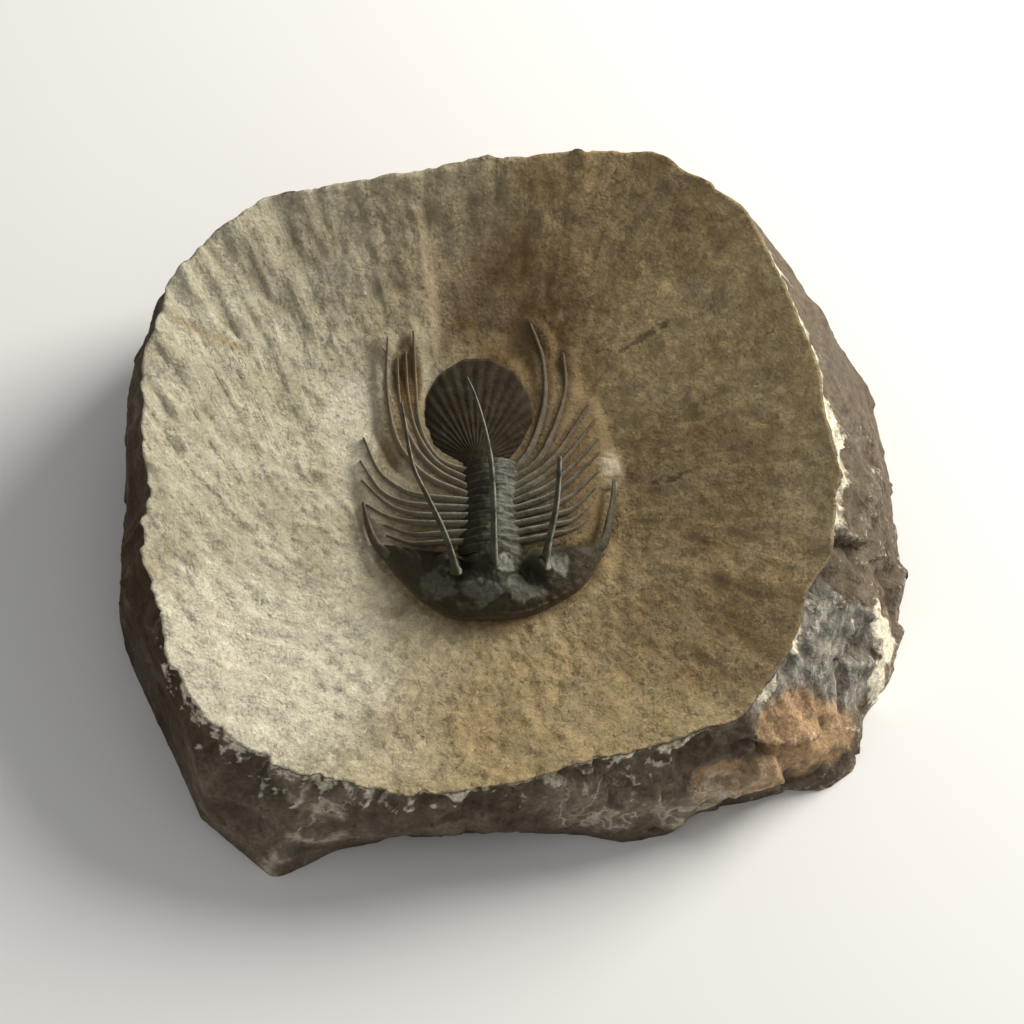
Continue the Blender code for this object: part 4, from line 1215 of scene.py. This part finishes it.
    def build(self, scribed: bpy.types.Material, fractured: bpy.types.Material) -> bpy.types.Object:
        """Makes the block.

        Args:
            scribed: the finish of the hollow.
            fractured: the finish of everything else.

        Returns:
            The finished piece.
        """
        rings, strokes, rim_ring = self.rings()
        middle = rings[-1].mean(axis=0)
        under = np.array([*self.hollow.centre, 0.0])
        body = Body.from_rings(rings, under, middle)
        body.zones = self.zones(body.points, rim_ring)
        body.finish_of_face = np.ones(len(body.faces))
        hollow_faces = (len(rings) - 1 - rim_ring) * self.segments
        start = rim_ring * self.segments
        body.finish_of_face[start : start + hollow_faces] = 0
        body.finish_of_face[-self.segments :] = 0
        piece = body.piece("limestone_block", (scribed, fractured))
        places = np.vstack([*strokes, strokes[0][:1], strokes[-1][:1]])
        piece.data.attributes.new("stroke", "FLOAT_VECTOR", "POINT").data.foreach_set(
            "vector", places.astype(np.float32).ravel()
        )
        fit(piece, "stone_matrix")
        return piece


# The trilobite. Its sub-assemblies are made in the fossil's frame and are then moved to the block's.


@dataclass
class Blade:
    """A tapering spine along a line, thicker toward one edge and with a painted highlight there, as the shell's ribs
    and spines are.
    """

    line: np.ndarray
    wide: tuple[float, float]  # half its width at the root and at the tip
    tall: tuple[float, float]
    edge: float = 0.0  # how far its ridge is off to one side, from -1 to 1; its painted highlight lies on that side
    flare: float = 0.0  # how much thicker it is at its root
    hold: float = 1.0  # above 1, it keeps its width longer
    sides: int = 18

    def body(self) -> Body:
        """Sweeps the blade's section along its line.

        Returns:
            The closed blade, with more dust toward its tip.
        """
        share = np.linspace(0, 1, len(self.line))
        along = np.gradient(self.line, axis=0)
        along /= np.linalg.norm(along, axis=1)[:, None]
        across = np.cross((0.0, 0.0, 1.0), along)
        across /= np.linalg.norm(across, axis=1)[:, None]
        up = np.cross(along, across)
        turn = np.arange(self.sides) * 2 * np.pi / self.sides
        swell = 1 + self.flare * np.exp(-share / 0.05)
        taper = 1 - share**self.hold
        wide = (self.wide[1] + (self.wide[0] - self.wide[1]) * taper) * swell
        tall = (self.tall[1] + (self.tall[0] - self.tall[1]) * taper) * swell
        uneven = 1 + 0.07 * rough(self.line, 1.4, 2.0)
        # The section is turned from across to up, so that it runs anticlockwise seen from the tip.
        flat, high = np.cos(turn), np.sin(turn) * (1 + self.edge * 0.5 * np.cos(turn))
        rings = [
            self.line[i] + across[i] * (flat * wide[i] * uneven[i])[:, None] + up[i] * (high * tall[i] * uneven[i])[:, None]
            for i in range(len(self.line))
        ]
        tip = self.line[-1] + along[-1] * wide[-1]
        made = Body.from_rings(rings, self.line[0], tip)
        around = np.tile(turn, len(share))
        # Painted highlight on the side that the ridge leans to, which faces the lamp, with a little all round.
        lit = 0.1 + 0.9 * smooth_step(0.25, 0.8, self.edge * np.cos(around)) * (np.sin(around) > -0.2)
        spotty = np.clip(0.8 + 1.2 * rough(made.points[:-2], 1.3, 8.0), 0, 1)
        made.zones = {
            Zone.DUST: np.concatenate([np.repeat(share, self.sides), [0.0, 1.0]]),
            Zone.WEAR_AND_SHEEN: np.concatenate([lit * spotty, [0.0, 0.0]]),
            Zone.STAIN_AND_SHADE: np.zeros(len(made.points)),
        }
        return made


@dataclass
class HeadShield:
    """The crescent of the head: cheeks, the middle lobe with its furrows, both eye mounds, and the border."""

    outline: Outline = (
        (17.8, -8.3), (16.6, -11.6), (14.0, -15.0), (11.2, -16.9), (6.2, -19.4), (0.0, -20.2), (-6.2, -19.8),
        (-9.4, -18.0), (-12.0, -15.8), (-14.5, -13.0), (-16.5, -10.2), (-18.0, -7.5), (-16.3, -8.7),
        (-14.1, -10.0), (-11.2, -9.8), (-8.4, -8.9), (-5.0, -8.4), (0.0, -8.6), (5.0, -8.3), (10.0, -7.9),
        (15.2, -7.9),
    )  # fmt: skip
    middle: tuple[float, float] = (0.3, -13.2)
    cheek_height: float = 4.2
    lobe_height: float = 7.0
    neck_height: float = 7.6
    eye_height: float = 8.2
    eye_spread: float = 7.0
    segments: int = 320
    rings: int = 84
    sunk: float = -1.0
    furrow_depth: float = 0.32
    # Pale patches, partly rubbed shell and partly painted sheen: middle, reach and strength.
    rubbed_and_highlighted: tuple[tuple[tuple[float, float], tuple[float, float], float], ...] = (
        ((2.4, -12.6), (1.5, 1.9), 0.6),
        ((10.6, -11.9), (1.7, 2.0), 0.4),
        ((4.8, -16.2), (4.0, 2.2), 0.34),
        ((-8.0, -15.5), (3.4, 2.2), 0.22),
        ((-2.0, -17.0), (4.0, 2.2), 0.26),
    )
    furrows: tuple[Outline, ...] = (
        ((4.6, -9.2), (4.3, -11.4), (5.0, -13.6), (6.4, -15.0), (8.2, -16.0), (9.3, -18.0), (8.8, -19.2)),
        ((-4.2, -9.2), (-3.9, -11.4), (-4.8, -13.6), (-6.2, -15.0), (-7.8, -16.0), (-8.9, -17.8), (-8.4, -19.0)),
        ((-4.6, -10.2), (-2.0, -10.6), (2.4, -10.6), (4.8, -10.2)),
        ((4.8, -15.6), (2.6, -14.9), (1.6, -14.4)),
        ((-4.4, -15.6), (-2.2, -14.9), (-1.2, -14.4)),
        ((6.1, -13.0), (8.8, -15.8), (11.0, -16.6)),
    )

    def mound(self, x: np.ndarray, y: np.ndarray, at: Outline, height: float) -> np.ndarray:
        """A smooth mound.

        Args:
            x: places.
            y: places.
            at: the mound's middle and its reach.
            height: its height.

        Returns:
            Its height at each place, 0 past its reach.
        """
        places = np.stack([x, y], -1)
        return height * np.clip(patch(places, at[0], at[1]), 0, 1) ** 0.75

    def height(self, x: np.ndarray, y: np.ndarray, share: float) -> np.ndarray:
        """Height of the head over the floor.

        Args:
            x: places.
            y: places.
            share: how near they are to the head's edge.

        Returns:
            The heights.
        """
        cheek = 0.9 + self.cheek_height * max(0.0, 1 - share**2.6) ** 0.6
        mounds = [
            np.full(len(x), cheek),
            self.mound(x, y, ((0.3, -15.4), (8.8, 5.4)), self.lobe_height),
            self.mound(x, y, ((0.3, -11.8), (5.4, 5.8)), self.neck_height),
        ]
        for side in Side:
            at = (side.value * self.eye_spread + 0.4, -12.6)
            mounds.append(self.mound(x, y, (at, (3.3, 3.1)), self.eye_height))
        height = np.log(sum(np.exp(3 * mound) for mound in mounds)) / 3
        places = np.stack([x, y, np.zeros(len(x))], -1)
        bent = places + 0.25 * rough(places, 1.6, 7.0)[:, None]
        for furrow in self.furrows:
            height = height - self.furrow_depth * np.exp(-((distance_to(bent, furrow) / 0.6) ** 2))
        border = 0.14 * math.exp(-(((share - 0.955) / 0.03) ** 2)) - 0.2 * math.exp(-(((share - 0.895) / 0.03) ** 2))
        skin = 0.18 * rough(places, 0.8, 3.0) + 0.34 * rough(places, 2.2, 6.0) + 0.16 * chipped(places, 2.4, 4.0)
        return height + border * (y < -9.5) + skin * min(1.0, (1 - share) * 12)

    def build(self, hollow: Hollow, shell: bpy.types.Material) -> bpy.types.Object:
        """Makes the head.

        Args:
            hollow: where it stands.
            shell: its finish.

        Returns:
            The finished piece.
        """
        angles = np.arange(self.segments) * 2 * np.pi / self.segments
        reach = outline_reach(rounded(self.outline), angles, self.middle)
        rings = []
        dust = []
        for share, sunk in [(0.95, True), *[(float(s), False) for s in np.linspace(1, 0.02, self.rings)]]:
            x = self.middle[0] + reach * share * np.cos(angles)
            y = self.middle[1] + reach * share * np.sin(angles)
            z = np.full(len(x), self.sunk) if sunk else self.height(x, y, share)
            if share > 0.985 and not sunk:
                z = z - (share - 0.985) * 60
            rings.append(np.stack([x, y, z], -1))
            low = self.cheek_height + 0.5 - z
            dust.append(np.clip(0.05 + 0.06 * low + 0.25 * (share > 0.97), 0, 0.5))
        body = Body.from_rings(rings, np.array([*self.middle, self.sunk]), rings[-1].mean(axis=0))
        wear_and_sheen = np.zeros(len(body.points))
        for at, half, strength in self.rubbed_and_highlighted:
            near = patch(body.points, at, half) + 0.8 * rough(body.points, 1.6, 14.0) + 0.5 * rough(body.points, 0.7, 4.0)
            wear_and_sheen = np.maximum(wear_and_sheen, strength * np.clip(1.5 * near, 0, 1))
        # The pale patches are partly rubbing and partly painted sheen, and the brown grows toward the left as painted
        # shade.
        body.zones = {
            Zone.DUST: np.concatenate([*dust, [0.0, 0.0]]),
            Zone.WEAR_AND_SHEEN: wear_and_sheen,
            Zone.STAIN_AND_SHADE: 0.4 + 0.25 * smooth_step(4, -8, body.points[:, 0]),
        }
        body.points = hollow.from_fossil(body.points)
        piece = body.piece("head_shield", (shell,))
        fit(piece, "trilobite")
        return piece


@dataclass
class RingedAxis:
    """The raised lobe down the middle of the back, made of overlapping rings."""

    half_width: float = 5.6
    front: float = -10.5
    back: float = 6.2
    centre_height: float = 1.5
    flatness: float = 0.8
    taper: float = 0.24
    ring_pitch: float = 1.333
    first_ring: float = -8.87
    ring_step: float = 0.24
    segments: int = 120
    stations: int = 190

    def build(self, hollow: Hollow, shell: bpy.types.Material) -> bpy.types.Object:
        """Makes the axis.

        Args:
            hollow: where it stands.
            shell: its finish.

        Returns:
            The finished piece.
        """
        turn = np.arange(self.segments) * 2 * np.pi / self.segments
        rings = []
        dust = []
        for y in np.linspace(self.front, self.back, self.stations):
            share = (y - self.front) / (self.back - self.front)
            # The rings bow forward at their sides, and each has a raised back edge that overhangs the next.
            bowed = y + 0.5 * np.cos(turn) ** 2 - self.first_ring
            phase = np.mod(bowed / self.ring_pitch, 1.0)
            step = self.ring_step * (np.minimum(phase / 0.72, 1) ** 0.8 * (1 - smooth_step(0.86, 1.0, phase)) - 1)
            close = math.sqrt(max(0.0, 1 - max(0.0, (share - 0.93) / 0.07) ** 2))
            radius = (self.half_width * (1 - self.taper * share**1.6)) * close + step * (0.3 + 0.7 * close)
            radius = np.maximum(radius, 0.02)
            x, z = radius * np.cos(turn), self.centre_height + radius * self.flatness * np.sin(turn)
            ring = np.stack([x, np.full(len(x), y), z], -1)
            rings.append(ring[::-1])
            dust.append((0.10 * (phase > 0.9))[::-1])
        first, last = (np.array([0.0, y, self.centre_height]) for y in (self.front, self.back))
        body = Body.from_rings(rings, first, last)
        body.points[:, 2] += 0.09 * rough(body.points, 0.7, 5.0) + 0.12 * rough(body.points, (2.0, 0.6, 2.0), 8.0)
        # Painted light: a pale sheen is painted on the right half, which faces the lamp, and the left half, in shade,
        # is darkened brown as painted shade.
        lit = smooth_step(0.4, 1.8, body.points[:, 0]) * (1 - smooth_step(4.0, 5.0, body.points[:, 0]))
        body.zones = {
            Zone.DUST: np.concatenate([*dust, [0.0, 0.0]]),
            Zone.WEAR_AND_SHEEN: 0.3 * lit * np.clip(0.8 + 1.5 * rough(body.points, (2.2, 0.5, 2.2), 9.0), 0, 1),
            Zone.STAIN_AND_SHADE: 0.6 * smooth_step(0.5, -2.0, body.points[:, 0]),
        }
        body.points = hollow.from_fossil(body.points)
        piece = body.piece("ringed_axis", (shell,))
        fit(piece, "trilobite")
        return piece


@dataclass
class SidePlates:
    """The arched plates between the axis and the spines."""

    middle: tuple[float, float] = (0.0, -2.6)
    reach: tuple[float, float] = (9.6, 8.4)
    edge_height: float = 0.9
    top_height: float = 3.8
    segments: int = 160
    rings: int = 36

    def build(self, hollow: Hollow, shell: bpy.types.Material) -> bpy.types.Object:
        """Makes the plates as one low dome, whose bands the ribs stand on.

        Args:
            hollow: where they stand.
            shell: their finish.

        Returns:
            The finished piece.
        """
        angles = np.arange(self.segments) * 2 * np.pi / self.segments
        rings = []
        for share, sunk in [(0.95, True), *[(float(s), False) for s in np.linspace(1, 0.05, self.rings)]]:
            x = self.middle[0] + self.reach[0] * share * np.cos(angles)
            y = self.middle[1] + self.reach[1] * share * np.sin(angles)
            high = self.edge_height + (self.top_height - self.edge_height) * (1 - share**1.8)
            rings.append(np.stack([x, y, np.full(len(x), -1.0 if sunk else high)], -1))
        body = Body.from_rings(rings, np.array([*self.middle, -1.0]), rings[-1].mean(axis=0))
        body.points[:, 2] += 0.12 * rough(body.points, 1.1, 5.0)
        body.zones = {
            Zone.DUST: np.full(len(body.points), 0.25),
            Zone.WEAR_AND_SHEEN: np.zeros(len(body.points)),
            Zone.STAIN_AND_SHADE: np.full(len(body.points), 0.6),
        }
        body.points = hollow.from_fossil(body.points)
        piece = body.piece("side_plates", (shell,))
        fit(piece, "trilobite")
        return piece


@dataclass
class Ribs:
    """One side's ten ribs, which leave the axis side by side and end in spines that lie along the stone."""

    side: Side
    spines: SpineRows
    root: tuple[float, float] = (0.54, 0.5)  # half width and height
    tip: tuple[float, float] = (0.17, 0.26)
    steps: int = 12

    def build(self, hollow: Hollow, shell: bpy.types.Material) -> bpy.types.Object:
        """Makes the ribs.

        Args:
            hollow: what they lie on.
            shell: their finish.

        Returns:
            The finished piece.
        """
        bodies = []
        rows = self.spines.rows(self.side)
        for number, row in enumerate(rows, 1):
            # The root starts a little inside the axis.
            points = np.vstack([row[0] + 0.16 * (row[0] - row[1]), row])
            points[:, 2] += hollow.rise(points[:, 0], points[:, 1]) * math.cos(hollow.tilt)
            blade = Blade(
                smooth_line(points, self.steps),
                (self.root[0], self.tip[0]),
                (self.root[1], self.tip[1]),
                edge=float(self.side.value),
                hold=1.8,
            ).body()
            rear = float(number > 6)
            left = float(self.side is Side.LEFT)
            # The blade's painted highlight lies on the tailward edge; on the left it is stronger, with a pale tint over
            # the whole rib.
            dust = 0.1 + 0.34 * left + (0.25 + 0.4 * rear) * blade.zones[Zone.DUST]
            blade.zones[Zone.DUST] = np.clip(dust, 0, 0.9)
            blade.zones[Zone.WEAR_AND_SHEEN] = np.clip((0.8 + 0.2 * left) * blade.zones[Zone.WEAR_AND_SHEEN] + 0.2 * left, 0, 1)
            bodies.append(blade)
        body = Body.joined(bodies)
        body.points = hollow.from_fossil(body.points)
        piece = body.piece(f"ribs_{self.side.name.lower()}", (shell,))
        fit(piece, "trilobite")
        return piece


@dataclass
class TailFan:
    """The fan tail: ribs that spread from its root under the axis, and a scalloped edge."""

    focus: tuple[float, float] = (-2.1, 5.2)
    middle: tuple[float, float] = (-1.9, 13.4)
    half: tuple[float, float] = (8.5, 9.9)
    ribs: int = 52  # counted right round, of which about 30 show behind the axis
    points_a_rib: int = 10
    rings: int = 60
    rib_height: float = 0.07
    profile: Outline = ((1.0, 0.95), (0.94, 1.4), (0.86, 1.75), (0.64, 2.3), (0.38, 2.8), (0.14, 3.2), (0.0, 3.3))

    def build(self, hollow: Hollow, shell: bpy.types.Material) -> bpy.types.Object:
        """Makes the fan.

        Args:
            hollow: where it stands.
            shell: its finish.

        Returns:
            The finished piece.
        """
        angles = np.arange(self.ribs * self.points_a_rib) * 2 * np.pi / (self.ribs * self.points_a_rib)
        across, along = np.cos(angles), np.sin(angles)
        off = (self.middle[0] - self.focus[0], self.middle[1] - self.focus[1])
        # Where a ray from the root meets the fan's oval edge.
        p = (across / self.half[0]) ** 2 + (along / self.half[1]) ** 2
        q = across * off[0] / self.half[0] ** 2 + along * off[1] / self.half[1] ** 2
        r = (off[0] / self.half[0]) ** 2 + (off[1] / self.half[1]) ** 2 - 1
        reach = (q + np.sqrt(q * q - p * r)) / p
        rib = np.cos(angles * self.ribs)
        reach = reach * (1 + 0.006 * np.cos(angles * self.ribs / 2))
        shares, heights = np.array(self.profile)[::-1].T
        rings = []
        dust = []
        for share, sunk in [(0.96, True), *[(float(s), False) for s in np.linspace(1, 0.03, self.rings)]]:
            x, y = self.focus[0] + reach * share * across, self.focus[1] + reach * share * along
            lift = self.rib_height * rib * np.minimum(1.0, reach * share / 3.5)
            high = np.full(len(x), -1.0) if sunk else np.interp(share, shares, heights) + lift
            rings.append(np.stack([x, y, high], -1))
            dust.append(np.clip(0.04 - 0.05 * rib + 0.2 * (share > 0.97), 0, 0.6))
        body = Body.from_rings(rings, np.array([*self.focus, -1.0]), rings[-1].mean(axis=0))
        body.points[:, 2] += 0.08 * rough(body.points, 0.8, 5.0) + 0.25 * rough(body.points, 4.0, 6.0)
        body.zones = {
            Zone.DUST: np.concatenate([*dust, [0.0, 0.0]]),
            Zone.WEAR_AND_SHEEN: np.zeros(len(body.points)),
            Zone.STAIN_AND_SHADE: np.clip(0.9 + 0.3 * rough(body.points, 3.0, 8.0), 0, 1),
        }
        body.points = hollow.from_fossil(body.points)
        piece = body.piece("tail_fan", (shell,))
        fit(piece, "trilobite")
        return piece


@dataclass
class CheekSpines:
    """The spine that each corner of the head ends in, lying along the stone."""

    lines: tuple[Line, ...] = (
        ((-15.4, -9.8, 1.8), (-17.7, -7.6, 1.5), (-19.0, -4.2, 1.3), (-19.7, -0.8, 1.2)),
        ((15.4, -9.8, 1.8), (17.6, -7.4, 1.6), (18.6, -3.0, 1.6), (19.0, -0.4, 1.6), (19.2, 2.8, 1.6)),
    )
    root: tuple[float, float] = (0.9, 0.8)
    tip: tuple[float, float] = (0.25, 0.3)

    def build(self, hollow: Hollow, shell: bpy.types.Material) -> bpy.types.Object:
        """Makes both spines.

        Args:
            hollow: what they lie on.
            shell: their finish.

        Returns:
            The finished piece.
        """
        bodies = []
        for line in self.lines:
            points = np.array(line)
            points[:, 2] += hollow.rise(points[:, 0], points[:, 1]) * math.cos(hollow.tilt)
            side = math.copysign(1.0, points[0, 0])
            wide, tall = (self.root[0], self.tip[0]), (self.root[1], self.tip[1])
            blade = Blade(smooth_line(points, 14), wide, tall, edge=side).body()
            blade.zones[Zone.DUST] = 0.08 + 0.3 * blade.zones[Zone.DUST]
            blade.zones[Zone.WEAR_AND_SHEEN] *= 0.25
            bodies.append(blade)
        body = Body.joined(bodies)
        body.points = hollow.from_fossil(body.points)
        piece = body.piece("cheek_spines", (shell,))
        fit(piece, "trilobite")
        return piece


@dataclass
class HeadSpines:
    """The three long spines that stand free over the back: one from the neck and one from each eye."""

    lines: tuple[Line, ...] = (
        (
            (0.6, -13.0, 6.0), (0.6, -10.6, 9.0), (0.5, -5.0, 12.6), (0.1, 1.4, 14.2), (-0.9, 6.9, 14.0),
            (-2.3, 12.4, 12.6), (-3.6, 16.2, 11.0),
        ),
        (
            (-5.4, -13.8, 6.0), (-5.9, -12.2, 8.8), (-7.2, -9.0, 11.2), (-9.5, -4.3, 12.6), (-11.9, 1.2, 12.5),
            (-13.2, 8.9, 11.2), (-13.7, 12.4, 10.0),
        ),
        (
            (8.3, -13.0, 6.0), (8.9, -10.6, 8.8), (9.6, -8.0, 10.9), (10.1, -5.8, 12.2), (10.5, -2.4, 14.0),
            (10.7, 1.4, 15.5),
        ),
    )  # fmt: skip
    radii: tuple[tuple[float, float], ...] = ((0.6, 0.2), (0.58, 0.2), (0.62, 0.36))

    def build(self, hollow: Hollow, shell: bpy.types.Material) -> bpy.types.Object:
        """Makes the three spines.

        Args:
            hollow: where the fossil stands.
            shell: their finish.

        Returns:
            The finished piece.
        """
        bodies = []
        for line, radii in zip(self.lines, self.radii):
            # Their right-hand edges, which face the lamp, carry a painted highlight. A blade's own right is against the
            # way it runs.
            blade = Blade(smooth_line(np.array(line), 14), radii, radii, edge=-1.0, flare=0.9, sides=24).body()
            blade.zones[Zone.WEAR_AND_SHEEN] *= 0.8
            blade.zones[Zone.DUST] = 0.04 + 0.1 * blade.zones[Zone.DUST]
            bodies.append(blade)
        body = Body.joined(bodies)
        body.points = hollow.from_fossil(body.points)
        piece = body.piece("head_spines", (shell,))
        fit(piece, "trilobite")
        return piece


# The studio.


@dataclass
class Studio:
    """The pale floor, the soft light and the camera."""

    floor_half: float = 1500.0
    key_watts: float = 5.4
    key_distance: float = 600.0
    key_size: float = 380.0
    key_from: tuple[float, float, float] = (0.723, 0.506, 0.469)
    key_colour: str = "#FFFBF4"
    sky_colour: str = "#F4F4F6"
    sky_strength: float = 0.36
    target: tuple[float, float, float] = (-0.23, 0.52, 15.0)
    elevation: float = math.radians(60)
    distance: float = 1600.0
    frame_width: float = 158.72  # what 1024 pixels span at the target
    sensor: float = 36.0

    def floor(self) -> None:
        """Lays the floor just under the block."""
        half = self.floor_half * MM
        mesh = bpy.data.meshes.new("floor")
        corners = [(x, y, -0.00005) for x, y in ((-half, -half), (half, -half), (half, half), (-half, half))]
        mesh.from_pydata(corners, [], [(0, 1, 2, 3)])
        mesh.materials.append(PaperFloor().make())
        floor = bpy.data.objects.new("floor", mesh)
        bpy.context.scene.collection.objects.link(floor)

    def lights(self) -> None:
        """Hangs the one soft lamp, to the right and a little behind, and sets the room's light."""
        lamp = bpy.data.lights.new("window_light", "AREA")
        lamp.shape = "DISK"
        lamp.size = self.key_size * MM
        lamp.energy = self.key_watts
        lamp.color = linear(self.key_colour)[:3]
        hung = bpy.data.objects.new("window_light", lamp)
        toward = Vector(self.key_from).normalized()
        hung.location = Vector((0, 0, 0.015)) + toward * self.key_distance * MM
        hung.rotation_mode = "QUATERNION"
        hung.rotation_quaternion = toward.to_track_quat("Z", "Y")
        bpy.context.scene.collection.objects.link(hung)
        world = bpy.data.worlds.new("studio_room")
        world.use_nodes = True
        room = world.node_tree.nodes["Background"]
        room.inputs["Color"].default_value = linear(self.sky_colour)
        room.inputs["Strength"].default_value = self.sky_strength
        bpy.context.scene.world = world

    def camera(self) -> None:
        """Sets the camera at the photograph's viewing angle."""
        lens = bpy.data.cameras.new("camera")
        lens.sensor_width = self.sensor
        lens.lens = self.sensor * self.distance / self.frame_width
        lens.clip_start, lens.clip_end = 0.05, 10.0
        stand = bpy.data.objects.new("camera", lens)
        back = Vector((0, -math.cos(self.elevation), math.sin(self.elevation)))
        stand.location = (Vector(self.target) + back * self.distance) * MM
        stand.rotation_mode = "QUATERNION"
        stand.rotation_quaternion = (-back).to_track_quat("-Z", "Y")
        bpy.context.scene.collection.objects.link(stand)
        bpy.context.scene.camera = stand

    def build(self) -> None:
        """Sets the studio up."""
        self.floor()
        self.lights()
        self.camera()
        bpy.context.scene.view_settings.view_transform = "Standard"


def main() -> None:
    logging.basicConfig(level=logging.INFO, format="%(name)s: %(message)s")
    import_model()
    scribed, fractured, shell = ScribedLimestone().make(), FracturedLimestone().make(), CalciteShell().make()
    hollow, spines = Hollow(), SpineRows()
    LimestoneBlock(hollow, spines).build(scribed, fractured)
    for part in (HeadShield(), RingedAxis(), SidePlates(), TailFan(), CheekSpines(), HeadSpines()):
        part.build(hollow, shell)
    for side in Side:
        Ribs(side, spines).build(hollow, shell)
    Studio().build()


if __name__ == "__main__":
    main()
